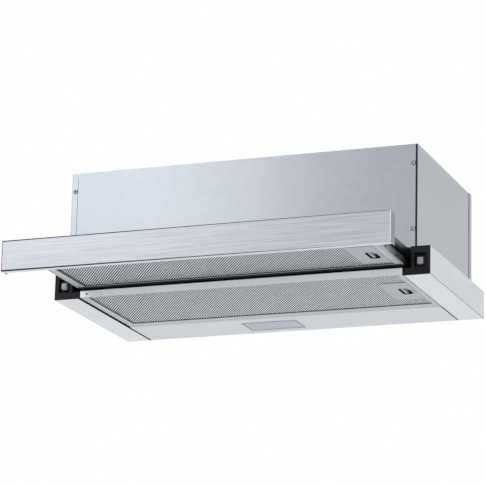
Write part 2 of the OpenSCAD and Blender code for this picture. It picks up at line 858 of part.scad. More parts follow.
module visor_tray() {
    wall_x = tray_x - sheet_t;
    flange_back_y = visor_filter_y - 0.6;
    color(pale_steel) {
        for (side = [0, 1]) mirror([side, 0, 0]) difference() {
            block([wall_x, tray_front_y, visor_z], [tray_x, tray_rear_y, tray_top]);
            for (y = rivet_y) rod_x([wall_x - cut, y, rivet_z], sheet_t + 2 * cut, rivet_r / 2);
        }
        block([-tray_x, tray_front_y, tray_top - sheet_t], [tray_x, tray_rear_y, tray_top]);
        block([-tray_x, tray_front_y, visor_z], [tray_x, tray_front_y + sheet_t, tray_top]);
        block([-tray_x, tray_front_y, visor_z], [tray_x, flange_back_y, visor_z + sheet_t]);
        block([-tray_x, tray_rear_y - sheet_t, visor_z], [tray_x, tray_rear_y, visor_z + tray_bar_h]);
        block([-tray_x, y_front - visor_filter_gap + 0.6, visor_z],
            [tray_x, tray_rear_y, visor_z + sheet_t]);
        hinge_lugs(-tray_x + sheet_t / 2, visor_filter_y, visor_filter_d, visor_z);
    }
}

// Rivets that hold the inner rails to the side walls of the tray
module tray_rivets() {
    color(zinc) for (side = [0, 1], y = rivet_y) mirror([side, 0, 0]) {
        rod_x([tray_x + rail_t, y, rivet_z], rivet_head, rivet_r);
        rod_x([tray_x - sheet_t - rivet_head / 2, y, rivet_z], sheet_t + rail_t + rivet_head, rivet_r / 2);
    }
}

// Filters: each is a folded frame, a mesh pack, a latch plate with a finger cup, and a sliding latch

module filter_frame(y0, depth, z0, slot_y, rear_w) {
    y1 = y0 + depth;
    x1 = filter_half_w;
    axis_z = z0 + hinge_up;
    z1 = z0 + filter_h;
    color(aluminium) {
        difference() {
            block([-x1, y0, z0], [x1, y1, z1]);
            block([-x1 + frame_t, y0 + frame_t, z0 + frame_t], [x1 - frame_t, y1 - frame_t, z1 - frame_t]);
            block([-x1 + frame_left_w, y0 + frame_front_w, z0 - cut],
                [x1 - frame_right_w, y1 - rear_w, z1 + cut]);
            // opening for the latch tongue
            block([x1 - frame_right_w - cut, slot_y - tongue_w / 2 - 0.4, z0 + tongue_z - 0.4],
                [x1 + cut, slot_y + tongue_w / 2 + 0.4, z0 + tongue_z + tongue_t + 0.4]);
            // slots for the lugs
            for (y = [y0 + lug_inset, y1 - lug_inset])
                block([-x1 - cut, y - lug_slot / 2, z0 - cut],
                    [hinge_x + lug_r + 0.6, y + lug_slot / 2, axis_z + lug_r + 0.9]);
        }
        // hinge rods, with a cheek on each side of the lug slot
        for (y = [y0 + lug_inset, y1 - lug_inset]) {
            rod_y([hinge_x, y - rod_l / 2, axis_z], rod_l, hinge_r);
            for (cheek_y = [y - rod_l / 2, y + lug_slot / 2])
                block([hinge_x - hinge_r, cheek_y, z0],
                    [hinge_x + hinge_r, cheek_y + (rod_l - lug_slot) / 2, axis_z]);
        }
    }
}

// The lower and the upper layer of mesh, with room for the finger cup in the lower one
module filter_mesh(y0, depth, z0, slot_y) {
    x1 = filter_half_w;
    low = z0 + frame_t;
    high = z0 + filter_h - frame_t;
    room = cup_wall + 0.2;
    color(mesh_grey) {
        difference() {
            block([-x1 + frame_t + 6, y0 + frame_t, low], [x1 - frame_t, y0 + depth - frame_t, low + mesh_t]);
            block([slot_x - slot_w / 2 - room, slot_y - slot_d / 2 - room, low - cut],
                [slot_x + slot_w / 2 + room, slot_y + slot_d / 2 + room, low + mesh_t + cut]);
        }
        block([-x1 + frame_t + 6, y0 + frame_t, high - mesh_t], [x1 - frame_t, y0 + depth - frame_t, high]);
    }
}

// A prism along Z whose plan is a rectangle with rounded corners
module rounded_prism(x, y, width, length, r, z0, z1) {
    for (i = [-1, 1], j = [-1, 1])
        rod_z([x + i * (width / 2 - r), y + j * (length / 2 - r), z0], z1 - z0, r);
    block([x - width / 2 + r, y - length / 2, z0], [x + width / 2 - r, y + length / 2, z1]);
    block([x - width / 2, y - length / 2 + r, z0], [x + width / 2, y + length / 2 - r, z1]);
}

module latch_plate(z0, slot_y, plate_y, plate_d) {
    low = z0;
    high = z0 + frame_t;
    cup_top = high + cup_h;
    color(pale_plastic) difference() {
        union() {
            block([latch_left_x, plate_y, low], [latch_right_x, plate_y + plate_d, high]);
            rounded_prism(slot_x, slot_y, slot_w + 2 * cup_wall, slot_d + 2 * cup_wall, slot_r + cup_wall,
                low, cup_top + cup_wall);
        }
        rounded_prism(slot_x, slot_y, slot_w, slot_d, slot_r, low - cut, cup_top);
        rounded_prism(dip_x, slot_y, dip_w, dip_d, dip_r, low - cut, low + dip_t);
        block([slot_x, slot_y - tongue_w / 2 - 0.4, z0 + tongue_z - 0.4],
            [slot_x + slot_w, slot_y + tongue_w / 2 + 0.4, z0 + tongue_z + tongue_t + 0.4]);
    }
}

module latch(z0, slot_y) {
    color(silver) {
        block([grip_x - grip_w / 2, slot_y - grip_d / 2, z0 + 0.3],
            [grip_x + grip_w / 2, slot_y + grip_d / 2, z0 + grip_h]);
        block([grip_x, slot_y - tongue_w / 2, z0 + tongue_z],
            [tongue_end, slot_y + tongue_w / 2, z0 + tongue_z + tongue_t]);
    }
}

// The lower filter's frame has a small punched hole in its front, near the hinged end
module base_filter_frame() {
    hole_x = punch_side - filter_half_w;
    hole_z = base_filter_z + filter_h / 2;
    difference() {
        filter_frame(base_filter_y, base_filter_d, base_filter_z, base_slot_y, base_rear_w);
        block([hole_x - punch_w / 2, base_filter_y - cut, hole_z - punch_w / 2],
            [hole_x + punch_w / 2, base_filter_y + frame_t + cut, hole_z + punch_w / 2]);
    }
}

module visor_filter_frame() {
    filter_frame(visor_filter_y, visor_filter_d, visor_z, visor_slot_y, visor_rear_w);
}

module base_filter_mesh() {
    filter_mesh(base_filter_y, base_filter_d, base_filter_z, base_slot_y);
}

module visor_filter_mesh() {
    filter_mesh(visor_filter_y, visor_filter_d, visor_z, visor_slot_y);
}

module base_latch_plate() {
    latch_plate(base_filter_z, base_slot_y, base_latch_y, latch_d);
}

module visor_latch_plate() {
    latch_plate(visor_z, visor_slot_y, visor_latch_y, visor_latch_d);
}

module base_latch() {
    latch(base_filter_z, base_slot_y);
}

module visor_latch() {
    latch(visor_z, visor_slot_y);
}

// Switches

// The right-hand knob: a grip with rounded upper and lower edges and a square stem
module knob() {
    back_y = y_front + pocket_depth - 0.6;
    nose_y = y_front - knob_proud;
    round_r = 3.2;
    top = knob_z + knob_h / 2;
    foot = knob_z - knob_h / 2;
    color(silver) {
        sweep_x(pocket_x - knob_w / 2, pocket_x + knob_w / 2, concat(
            [for (a = [0 : 15 : 90]) [nose_y + round_r * (1 - sin(a)), foot + round_r * (1 - cos(a))]],
            [for (a = [90 : -15 : 0]) [nose_y + round_r * (1 - sin(a)), top - round_r * (1 - cos(a))]],
            [[back_y, top], [back_y, foot]]));
        block([pocket_x - stem_w / 2, back_y - 1, knob_z - stem_w / 2],
            [pocket_x + stem_w / 2, y_front + stem_end_y, knob_z + stem_w / 2]);
    }
}

// The right-hand switch behind its end block, with a slot for the knob stem
module switch_body() {
    y0 = y_front + block_d;
    color(black) difference() {
        block([block_x + sheet_t + 1, y0, pocket_z - switch_below],
            [block_outer_x, y0 + switch_d, pocket_z + switch_above]);
        block([pocket_x - stem_w / 2 - 0.5, y0 - cut, pocket_z - stem_slot_h / 2],
            [pocket_x + stem_w / 2 + 0.5, y0 + 8, pocket_z + stem_slot_h / 2]);
    }
}

module fan_knob() {
    knob();
}

module light_knob() {
    mirror([1, 0, 0]) knob();
}

module fan_switch() {
    switch_body();
}

module light_switch() {
    mirror([1, 0, 0]) switch_body();
}

// The switch that stops the hood when the visor is shut, under the deck behind the shut tray
module visor_switch() {
    plunger_l = 2.4;
    plunger_w = 4;
    plunger_gap = 0.6;
    plunger_z = deck_under - 7;
    y0 = tray_rear_y + travel + plunger_gap + plunger_l;
    mid_x = visor_switch_x + visor_switch_w / 2;
    color(black) {
        block([visor_switch_x, y0, deck_under - visor_switch_h],
            [visor_switch_x + visor_switch_w, y0 + visor_switch_d, deck_under]);
        block([mid_x - plunger_w / 2, y0 - plunger_l, plunger_z - plunger_w / 2],
            [mid_x + plunger_w / 2, y0, plunger_z + plunger_w / 2]);
    }
}

// Fan

// The scroll grows evenly from the tongue round to the mouth, which runs up to top_z
function scroll_r(a) = scroll_r_min
    + (scroll_r_max - scroll_r_min) * (a - tongue_angle) / (360 - tongue_angle);
function scroll_points(inset, top_z) = concat(
    [for (a = [tongue_angle : scroll_step : 360])
        [fan_y + (scroll_r(a) - inset) * cos(a), fan_z + (scroll_r(a) - inset) * sin(a)]],
    [[mouth_y1 - inset, top_z], [mouth_y0 + inset, top_z]]);

// The right-hand half of the scroll housing, with the air inlet and half of the mouth flange
module scroll_half() {
    color(housing_grey) difference() {
        union() {
            sweep_x(0, scroll_half_w, scroll_points(0, ceiling_z));
            block([0, outlet_y - mouth_flange_half, ceiling_z - mouth_flange_t],
                [mouth_flange_half, outlet_y + mouth_flange_half, ceiling_z]);
        }
        sweep_x(-cut, scroll_half_w - scroll_wall, scroll_points(scroll_wall, ceiling_z + cut));
        rod_x([0, fan_y, fan_z], scroll_half_w + cut, inlet_r);
        at_bracket_screws() rod_x([scroll_half_w - scroll_wall - cut, 0, 0],
            scroll_wall + 2 * cut, screw_r + screw_c);
        at_outlet_screws() rod_z([0, 0, ceiling_z - screw_l], 2 * screw_l, screw_r + screw_c);
    }
}

module fan_housing_right() {
    scroll_half();
}

module fan_housing_left() {
    mirror([1, 0, 0]) scroll_half();
}

module impeller() {
    ring_t = 2;
    color(black) translate([0, fan_y, fan_z]) rotate([0, 90, 0]) difference() {
        union() {
            translate([0, 0, -disc_t / 2]) cylinder(r = fan_r, h = disc_t);
            translate([0, 0, -hub_l]) cylinder(r = hub_r, h = hub_l + disc_t / 2);
            for (end = [0, 1]) mirror([0, 0, end]) translate([0, 0, fan_half_l - ring_t])
                difference() {
                    cylinder(r = fan_r, h = ring_t);
                    translate([0, 0, -cut]) cylinder(r = blade_in_r, h = ring_t + 2 * cut);
                }
            for (k = [0 : blade_count - 1]) rotate([0, 0, 360 * k / blade_count])
                translate([blade_in_r + 1, 0, -fan_half_l + 1]) rotate([0, 0, 35])
                    cube([7, blade_t, 2 * fan_half_l - 2]);
        }
        translate([0, 0, -hub_l - cut]) cylinder(r = shaft_r + 0.02, h = hub_l + disc_t + 2 * cut);
    }
}

module fan_shaft() {
    color(zinc) rod_x([-hub_l, fan_y, fan_z], hub_l + scroll_half_w + motor_boss_l - 1, shaft_r);
}

module at_motor_screws() {
    for (a = arm_angles) translate([0, fan_y, fan_z]) rotate([a + 60, 0, 0])
        translate([0, motor_screw_r, 0]) children();
}

module at_bracket_screws() {
    for (a = arm_angles) translate([0, fan_y, fan_z]) rotate([a, 0, 0])
        translate([0, bracket_screw_r, 0]) children();
}

module motor() {
    color(silver) difference() {
        union() {
            rod_x([motor_x, fan_y, fan_z], motor_l, motor_r);
            rod_x([scroll_half_w, fan_y, fan_z], motor_boss_l, motor_boss_r);
        }
        rod_x([motor_x - cut, fan_y, fan_z], motor_l + motor_boss_l + 2 * cut, shaft_r + run_c);
        at_motor_screws() rod_x([scroll_half_w - screw_l, 0, 0], screw_l + cut, screw_r + screw_c);
    }
}

module motor_bracket() {
    color(zinc) difference() {
        union() {
            rod_x([scroll_half_w, fan_y, fan_z], bracket_t, motor_r);
            for (a = arm_angles) translate([0, fan_y, fan_z]) rotate([a, 0, 0])
                block([scroll_half_w, 0, -arm_w / 2], [scroll_half_w + bracket_t, arm_r, arm_w / 2]);
        }
        rod_x([scroll_half_w - cut, fan_y, fan_z], bracket_t + 2 * cut, motor_boss_r + 0.2);
        at_motor_screws() rod_x([scroll_half_w - cut, 0, 0], bracket_t + 2 * cut, screw_r + screw_c);
        at_bracket_screws() rod_x([scroll_half_w - cut, 0, 0], bracket_t + 2 * cut, screw_r + screw_c);
    }
}

module motor_screws() {
    color(zinc) at_motor_screws() {
        rod_x([scroll_half_w + bracket_t, 0, 0], head_h, head_r);
        rod_x([scroll_half_w + bracket_t - screw_l, 0, 0], screw_l, screw_r);
    }
}

module bracket_screws() {
    color(zinc) at_bracket_screws() {
        rod_x([scroll_half_w + bracket_t, 0, 0], head_h, head_r);
        rod_x([scroll_half_w + bracket_t - bracket_screw_l, 0, 0], bracket_screw_l, screw_r);
    }
}

// Electric parts

module capacitor() {
    base_z = ceiling_z - capacitor_stud - capacitor_h;
    color("white") {
        rod_z([capacitor_pos[0], capacitor_pos[1], base_z], capacitor_h, capacitor_r);
        rod_z([capacitor_pos[0], capacitor_pos[1], base_z + capacitor_h], capacitor_stud, capacitor_r / 3);
    }
}

module terminal_box() {
    x0 = gland_pos[0] - terminal_w / 2;
    y0 = gland_pos[1] - terminal_d / 2;
    low = ceiling_z - terminal_h;
    color(black) difference() {
        block([x0, y0, low], [x0 + terminal_w, y0 + terminal_d, ceiling_z]);
        block([x0 + terminal_wall, y0 + terminal_wall, low + terminal_wall],
            [x0 + terminal_w - terminal_wall, y0 + terminal_d - terminal_wall, ceiling_z + cut]);
    }
}

module cord_gland() {
    color(black) translate([gland_pos[0], gland_pos[1], 0]) difference() {
        union() {
            rod_z([0, 0, box_h], 3, gland_flange_r);
            rod_z([0, 0, box_h], gland_up, gland_hole_r + 1);
            rod_z([0, 0, box_h - gland_down], gland_down + 1, gland_hole_r - 0.1);
            rod_z([0, 0, ceiling_z - 4], 4, gland_flange_r);
        }
        rod_z([0, 0, box_h - gland_down - cut], gland_down + gland_up + 2 * cut, gland_bore_r);
    }
}

// Screws of the fan box

module front_screws() {
    color(zinc) at_corner_screws() {
        rod_y([0, box_y - head_h, 0], head_h, head_r);
        rod_y([0, box_y, 0], screw_l, screw_r);
    }
}

module back_screws() {
    color(zinc) at_corner_screws() {
        rod_y([0, y_rear, 0], head_h, head_r);
        rod_y([0, y_rear - screw_l, 0], screw_l, screw_r);
    }
}

front_panel();
left_side_panel();
right_side_panel();
back_panel();
top_panel();
outlet_collar();
damper_pin();
front_flap();
rear_flap();
deck_panel();
left_side_channel();
right_side_channel();
left_end_block();
right_end_block();
light_panel();
lamp_frame();
lamp_lens();
lamp_board();
rail_brackets();
left_outer_rail();
right_outer_rail();
left_middle_rail();
right_middle_rail();
left_inner_rail();
right_inner_rail();
visor_front();
visor_tray();
tray_rivets();
visor_filter_frame();
visor_filter_mesh();
visor_latch_plate();
visor_latch();
base_filter_frame();
base_filter_mesh();
base_latch_plate();
base_latch();
light_knob();
fan_knob();
light_switch();
fan_switch();
visor_switch();
fan_housing_left();
fan_housing_right();
impeller();
fan_shaft();
motor();
motor_bracket();
motor_screws();
bracket_screws();
capacitor();
terminal_box();
cord_gland();
front_screws();
back_screws();
collar_screws();
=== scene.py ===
import json
import math

import bmesh
import bpy
from mathutils import Matrix, Vector


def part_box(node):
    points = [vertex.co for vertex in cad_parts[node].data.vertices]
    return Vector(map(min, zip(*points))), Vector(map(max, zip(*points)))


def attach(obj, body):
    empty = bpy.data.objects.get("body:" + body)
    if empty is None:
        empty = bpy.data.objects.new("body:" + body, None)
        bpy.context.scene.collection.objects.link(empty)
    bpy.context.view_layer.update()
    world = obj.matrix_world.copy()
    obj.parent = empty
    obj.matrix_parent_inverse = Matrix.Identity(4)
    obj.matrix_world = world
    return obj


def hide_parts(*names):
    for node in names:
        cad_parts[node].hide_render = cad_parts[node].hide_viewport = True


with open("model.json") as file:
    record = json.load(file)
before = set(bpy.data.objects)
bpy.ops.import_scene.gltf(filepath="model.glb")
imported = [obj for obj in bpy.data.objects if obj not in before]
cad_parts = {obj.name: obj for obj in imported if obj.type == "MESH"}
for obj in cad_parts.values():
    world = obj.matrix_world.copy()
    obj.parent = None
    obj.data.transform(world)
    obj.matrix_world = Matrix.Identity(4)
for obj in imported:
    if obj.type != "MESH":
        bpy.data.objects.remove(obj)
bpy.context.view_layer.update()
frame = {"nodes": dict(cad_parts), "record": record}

# All sizes are in metres
MM = 0.001

# Camera: the photograph's angle, with no lens shift
CAMERA_AZIMUTH = math.radians(21.264)
CAMERA_ELEVATION = math.radians(-15.387)
CAMERA_ROLL = math.radians(1.453)
CAMERA_TARGET = Vector((-0.0471, -0.002, 0.066))
CAMERA_DISTANCE = 4.1245
CAMERA_LENS_MM = 196.96
CAMERA_SENSOR_MM = 36.0
CAMERA_CLIP_END = 100.0

# Floor and surroundings
FLOOR_Z = -1.3
FLOOR_HALF = 9.0
FLOOR_COLOUR = (0.86, 0.86, 0.87)
FLOOR_GLOW = 0.2
AMBIENT = 0.7
WHITE = (1.0, 1.0, 1.0, 1.0)

# Area lamps: place, point aimed at, width and height, and power in watts
LAMPS = {
    "key_left": ((-1.35, -1.9, 0.95), (0.0, -0.2, 0.05), (1.5, 1.0), 5.6),
    "fill_right": ((2.4, -1.0, 0.2), (0.1, 0.0, 0.0), (1.2, 1.2), 2.0),
    "top": ((0.2, 0.3, 2.2), (0.0, 0.0, 0.0), (2.0, 2.0), 12.0),
    "front_low": ((0.7, -2.6, -0.65), (0.0, 0.0, 0.0), (1.7, 1.1), 9.0),
    "below_behind": ((1.2, 1.8, -1.05), (0.0, 0.0, 0.0), (1.8, 1.4), 5.0),
}

# Textures: features per metre, for streaks along and across the grain
FINE_STREAKS = 7.0, 900.0
BROAD_STREAKS = 11.0, 380.0
SHEET_CLOUDS = 5.0
MILL_GRAIN = 90.0
LACQUER_CLOUDS = 6.0
ORANGE_PEEL = 420.0
PLASTIC_CLOUDS = 40.0
PLASTIC_GRAIN = 1500.0
COVER_RIBS = 120.0
COVER_FROST = 900.0
FLOOR_SPECKLE = 3.0
NOISE_ROUGHNESS = 0.55
# Stretch in which nearly all values of a noise lie
NOISE_SPAN = 0.3, 0.7

# Distances below which two points or two levels are the same, and a length that no edge is below
SAME_POINT = 1e-6
SAME_LEVEL = 1e-5
NO_LENGTH = 1e-9

# A face looks along an axis when that part of its normal is above one of these
WHOLLY = 0.99
NEARLY = 0.95
MOSTLY = 0.7
HALF = 0.5
# A face is upright, or looks a little to the front, when a part of its normal is past one of these
UPRIGHT = 0.2
LITTLE = 0.1

# Edges above the first angle are rounded, and faces that differ by less than the second are joined
SHARP_ANGLE = math.radians(50)
FLAT_ANGLE = math.radians(0.4)
# Rounding: steps of an edge and of a fold, profile, the finish number that keeps the neighbours' finish,
# and how strongly large faces hold the normals round them
EDGE_STEPS = 2
FOLD_STEPS = 3
BEVEL_PROFILE = 0.5
KEEP_FINISH = -1
NORMAL_WEIGHT = 100
# A fold is longer than this, and lies between two faces wider than this
FOLDED_LENGTH = 25 * MM
FOLDED_WIDTH = 4 * MM
# On flat nodes only faces narrower than the first are shaded smooth; some finishes go only on faces wider
# than the second
SMOOTH_WIDTH = 3 * MM
PAINTED_WIDTH = 5 * MM

# Width of the rounding on a sheet's edges, and on those of other nodes
SHEET_EDGE = 0.3 * MM
EDGE_RADIUS = {
    "left_end_block": 0.4 * MM,
    "right_end_block": 0.4 * MM,
    "light_knob": 1.4 * MM,
    "fan_knob": 1.4 * MM,
    "outlet_collar": 0.4 * MM,
    "cord_gland": 0.4 * MM,
    "capacitor": 1.2 * MM,
    "motor": 1.5 * MM,
    "lamp_frame": 0.25 * MM,
    "lamp_lens": 0.3 * MM,
    "terminal_box": 0.8 * MM,
    "visor_latch_plate": 0.2 * MM,
    "base_latch_plate": 0.2 * MM,
    "visor_latch": 0.6 * MM,
    "base_latch": 0.6 * MM,
}

# Folds between two wide faces of a sheet: radius, finish where it isn't the sheet's own, and the height
# over the node's underside above which they have it
EVERYWHERE = -math.inf
# The fold finishes are painted shade; on the visor front they mark folds that its painter turns to painted
# highlight or painted shade
FOLDS = {
    "visor_front": (0.9 * MM, "dark_fold_shade", 15.4 * MM),
    "left_side_panel": (1.5 * MM, None, EVERYWHERE),
    "right_side_panel": (0.8 * MM, "dark_fold_shade", EVERYWHERE),
    "left_side_channel": (0.8 * MM, None, EVERYWHERE),
    "right_side_channel": (0.8 * MM, "soft_fold_shade", EVERYWHERE),
    "light_panel": (0.8 * MM, None, EVERYWHERE),
}

# Nodes made of flat sheets or flat mouldings
FLAT_NODES = (
    "front_panel", "left_side_panel", "right_side_panel", "back_panel", "top_panel", "deck_panel",
    "left_side_channel", "right_side_channel", "light_panel", "visor_front", "visor_tray",
    "visor_filter_frame", "base_filter_frame", "visor_latch_plate", "base_latch_plate",
    "left_end_block", "right_end_block", "terminal_box", "lamp_frame", "light_knob", "fan_knob",
)

# Visor front: widths of the painted shade lines along its face at their left ends, the upper line's width at
# its right end, and how far before the right end the lower line has run out
LOWER_LINE = 2.2 * MM
UPPER_LINE = 1.8 * MM
LEFT_LINE = 1.3 * MM
THIN_LINE = 0.8 * MM
LINE_STOP = 39 * MM
# Visor front: height and least area of its painted-highlight lip, and depth of its inner and outer end
# faces, painted highlight and painted shade
LIP_HEIGHT = 1.2 * MM
LIP_AREA = 1 * MM * MM
INNER_END = 1 * MM
OUTER_END = 0.5 * MM

# Painted shade along the right side panel's upright front corner: its width from the outer face, and its
# depth from the front edge
CORNER_SHADE_WIDTH = 2.6 * MM
CORNER_SHADE_DEPTH = 1.8 * MM

# Painted shade along each underside strip's inner edge: width and finish; how high it reaches, and how far
# past the edge
STRIP_SHADE = {"left_side_channel": (2.2 * MM, "painted_shade"), "right_side_channel": (1.3 * MM, "soft_fold_shade")}
STRIP_SHADE_HEIGHT = 12 * MM
STRIP_SHADE_LAP = 0.2 * MM

# Depth of the painted shade, in black rubber, on the rear bar of the visor's filter, and on the tray round
# it
REAR_BAR_SHADE = {"visor_filter_frame": 5.8 * MM, "visor_tray": 11.2 * MM}

# Width of the painted shade groove along the hinged end of each filter frame's window, and its lap over that
# end
GROOVE_SHADE = {"visor_filter_frame": 2.6 * MM, "base_filter_frame": 2.0 * MM}
GROOVE_SHADE_LAP = 0.5 * MM
# A filter frame's underside and its front, as depths from its lowest and foremost points
UNDERSIDE = 0.5 * MM
BAR_FRONT = 0.2 * MM
# A filter frame's window: how low its corners lie, and the least widths of the frame before and behind it
FRAME_LEVEL = 0.1 * MM
FRONT_RIM = 1 * MM
REAR_RIM = 3 * MM

# Height of the pale web of an inner rail
WEB_HEIGHT = 11.4 * MM
# Heights over a latch plate's underside from which the painted shade of its thumb dip and of its finger cup
# starts
DIP_RISE = 0.35 * MM
CUP_RISE = 0.9 * MM

# Each filter's mesh: its frame, its latch plate, and how far the strands stop short of the hinged end
FILTERS = {
    "visor_filter_mesh": ("visor_filter_frame", "visor_latch_plate", 2.2 * MM),
    "base_filter_mesh": ("base_filter_frame", "base_latch_plate", 1.0 * MM),
}
# How far the strands stop short of the window's rear edge, and the whole mesh of the plate's finger cup
MESH_SHORT_Y = 3.6 * MM
CUP_MARGIN = 0.3 * MM
# Expanded mesh: size of its diamonds, and width and thickness of its two kinds of strand
DIAMOND_X = 4.4 * MM
DIAMOND_Y = 6.37 * MM
MAIN_STRAND = 1.75 * MM, 0.42 * MM
CROSS_STRAND = 0.7 * MM, 0.3 * MM
SHORTEST_STRAND = 0.1 * MM
# A strand's lower face as a part of its width, and how much of its thickness lies clear of the next layer
STRAND_CREST = 0.36
STRAND_CLEAR = 0.9
# Heights of the mesh: lowest strand above the CAD mesh's underside, gap, and the two dark sheets of painted
# shade
STRAND_RISE = 0.05 * MM
DEPTH_GAP = 0.02 * MM
DEPTH_SHEET = 0.4 * MM
BACK_SHEET = 1.0 * MM

SCREW_NODES = ("front_screws", "back_screws", "collar_screws", "motor_screws", "bracket_screws")
# Screw heads: straight rim and crown as parts of the height, and the angles at which the dome has its rings
HEAD_RIM = 0.3
HEAD_CROWN = 0.63
DOME_ANGLES = 0.0, 0.3, 0.6, 0.9, 1.2
# Their cross recess, a dark box of painted shade: length and width as parts of the head's width, middle and
# depth as parts of its height
CROSS_LONG = 0.66
CROSS_WIDE = 0.2
CROSS_MIDDLE = 0.72
CROSS_DEPTH = 0.5
# The shadow round a head: its radius as a multiple of the head's, and its heights above the sheet
SHADOW_SPREAD = 1.3
SHADOW_LOW = 0.02 * MM
SHADOW_HIGH = 0.12 * MM
# Sides of a shape turned about an axis
TURNED_SIDES = 28

BODY_OF = {node: body for body, nodes in frame["record"]["behaviour"]["bodies"].items() for node in nodes}
SLOT_OF = {entry["node"]: entry["material_slot"] for entry in frame["record"]["subparts"]}


# Materials

class NodeMaterial:
    """A material whose principled shader is fed by a few texture nodes in object coordinates."""

    def __init__(self, name, colour, roughness, metallic=0.0):
        self.material = bpy.data.materials.new(name)
        self.material.use_nodes = True
        self.tree = self.material.node_tree
        self.shader = self.tree.nodes["Principled BSDF"]
        self.colour = colour
        self.roughness = roughness
        self.set(Metallic=metallic)
        self.place = self.tree.nodes.new("ShaderNodeTexCoord").outputs["Object"]

    def set(self, **values):
        for name, value in values.items():
            self.shader.inputs[name.replace("_", " ")].default_value = value

    def noise(self, scale, detail):
        """Noise whose scale is in features per metre: one number, or one for each axis."""
        mapping = self.tree.nodes.new("ShaderNodeMapping")
        mapping.inputs["Scale"].default_value = scale if isinstance(scale, list) else [scale] * 3
        self.tree.links.new(self.place, mapping.inputs["Vector"])
        noise = self.tree.nodes.new("ShaderNodeTexNoise")
        noise.inputs["Scale"].default_value = 1.0
        noise.inputs["Detail"].default_value = detail
        noise.inputs["Roughness"].default_value = NOISE_ROUGHNESS
        self.tree.links.new(mapping.outputs["Vector"], noise.inputs["Vector"])
        return noise.outputs["Fac"]

    def streaks(self, scales, grain, detail):
        """Noise drawn out along one axis."""
        along, across = scales
        return self.noise([along if axis == grain else across for axis in "XYZ"], detail)

    def ramp(self, value, low, high, span=NOISE_SPAN):
        """A value that goes from low to high while the one given goes through a span."""
        node = self.tree.nodes.new("ShaderNodeMapRange")
        for name, number in zip(("From Min", "From Max", "To Min", "To Max"), (*span, low, high)):
            node.inputs[name].default_value = number
        self.tree.links.new(value, node.inputs["Value"])
        return node.outputs["Result"]

    def about_one(self, value, spread):
        """A value spread evenly about 1."""
        return self.ramp(value, 1.0 - spread, 1.0 + spread)

    def multiply(self, one, other):
        node = self.tree.nodes.new("ShaderNodeMath")
        node.operation = "MULTIPLY"
        self.tree.links.new(one, node.inputs[0])
        self.tree.links.new(other, node.inputs[1])
        return node.outputs["Value"]

    def fade_across(self, value, grain):
        """The value, which goes to 1 on the faces that cross the grain."""
        coords = self.tree.nodes.new("ShaderNodeTexCoord")
        parts = self.tree.nodes.new("ShaderNodeSeparateXYZ")
        self.tree.links.new(coords.outputs["Normal"], parts.inputs["Vector"])
        facing = self.tree.nodes.new("ShaderNodeMath")
        facing.operation = "ABSOLUTE"
        self.tree.links.new(parts.outputs[grain], facing.inputs[0])
        mix = self.tree.nodes.new("ShaderNodeMix")
        mix.inputs["B"].default_value = 1.0
        self.tree.links.new(facing.outputs["Value"], mix.inputs["Factor"])
        self.tree.links.new(value, mix.inputs["A"])
        return mix.outputs["Result"]

    def shade(self, factor):
        """Make the colour lighter or darker by a factor that varies over the surface."""
        node = self.tree.nodes.new("ShaderNodeMix")
        node.data_type = "RGBA"
        node.blend_type = "MULTIPLY"
        node.inputs["Factor"].default_value = 1.0
        node.inputs["A"].default_value = (*self.colour, 1.0)
        self.tree.links.new(factor, node.inputs["B"])
        self.tree.links.new(node.outputs["Result"], self.shader.inputs["Base Color"])

    def rough(self, value, less, more):
        """Spread the roughness about its middle value."""
        spread = self.ramp(value, self.roughness - less, self.roughness + more)
        self.tree.links.new(spread, self.shader.inputs["Roughness"])

    def bump(self, height, distance):
        node = self.tree.nodes.new("ShaderNodeBump")
        node.inputs["Distance"].default_value = distance
        node.inputs["Strength"].default_value = 1.0
        self.tree.links.new(height, node.inputs["Height"])
        self.tree.links.new(node.outputs["Normal"], self.shader.inputs["Normal"])


def brushed_metal(name, colour, roughness, grain, contrast=0.12):
    """Sheet metal brushed along one axis: long fine streaks in tone, gloss and relief."""
    made = NodeMaterial(name, colour, roughness, metallic=1.0)
    fine = made.streaks(FINE_STREAKS, grain, detail=5.0)
    broad = made.streaks(BROAD_STREAKS, grain, detail=3.0)
    tone = made.multiply(made.about_one(fine, contrast), made.about_one(broad, contrast))
    made.shade(made.fade_across(tone, grain))
    made.rough(fine, less=0.06, more=0.08)
    made.bump(fine, 0.012 * MM)
    return made.material


def satin_metal(name, colour, roughness, grain=0.01):
    """Smooth rolled sheet with a faint mill grain and a slightly uneven tone."""
    made = NodeMaterial(name, colour, roughness, metallic=1.0)
    clouds = made.noise(SHEET_CLOUDS, detail=3.0)
    rolled = made.noise(MILL_GRAIN, detail=4.0)
    made.shade(made.multiply(made.about_one(clouds, 0.03), made.about_one(rolled, grain)))
    made.rough(rolled, less=0.02, more=0.03)
    return made.material


def coated_metal(name, colour, roughness, metallic=0.0):
    """Smooth lacquered sheet with a very fine orange peel."""
    made = NodeMaterial(name, colour, roughness, metallic)
    peel = made.noise(ORANGE_PEEL, detail=2.0)
    clouds = made.noise(LACQUER_CLOUDS, detail=2.0)
    made.shade(made.ramp(clouds, 0.97, 1.02))
    made.rough(peel, less=0.05, more=0.08)
    made.bump(peel, 0.02 * MM)
    made.set(Coat_Weight=0.25, Coat_Roughness=0.2)
    return made.material


def moulded_plastic(name, colour, roughness, texture=0.05 * MM, spread=0.10, specular=0.5):
    """Moulded plastic with a fine eroded texture."""
    made = NodeMaterial(name, colour, roughness)
    grain = made.noise(PLASTIC_GRAIN, detail=3.0)
    clouds = made.noise(PLASTIC_CLOUDS, detail=3.0)
    made.shade(made.about_one(clouds, spread))
    made.rough(grain, less=0.08, more=0.12)
    made.bump(grain, texture)
    made.set(Specular_IOR_Level=specular)
    return made.material


def smooth_plastic(name, colour, roughness):
    """Moulded plastic with a finer texture and a more even tone."""
    return moulded_plastic(name, colour, roughness, texture=0.02 * MM, spread=0.03)


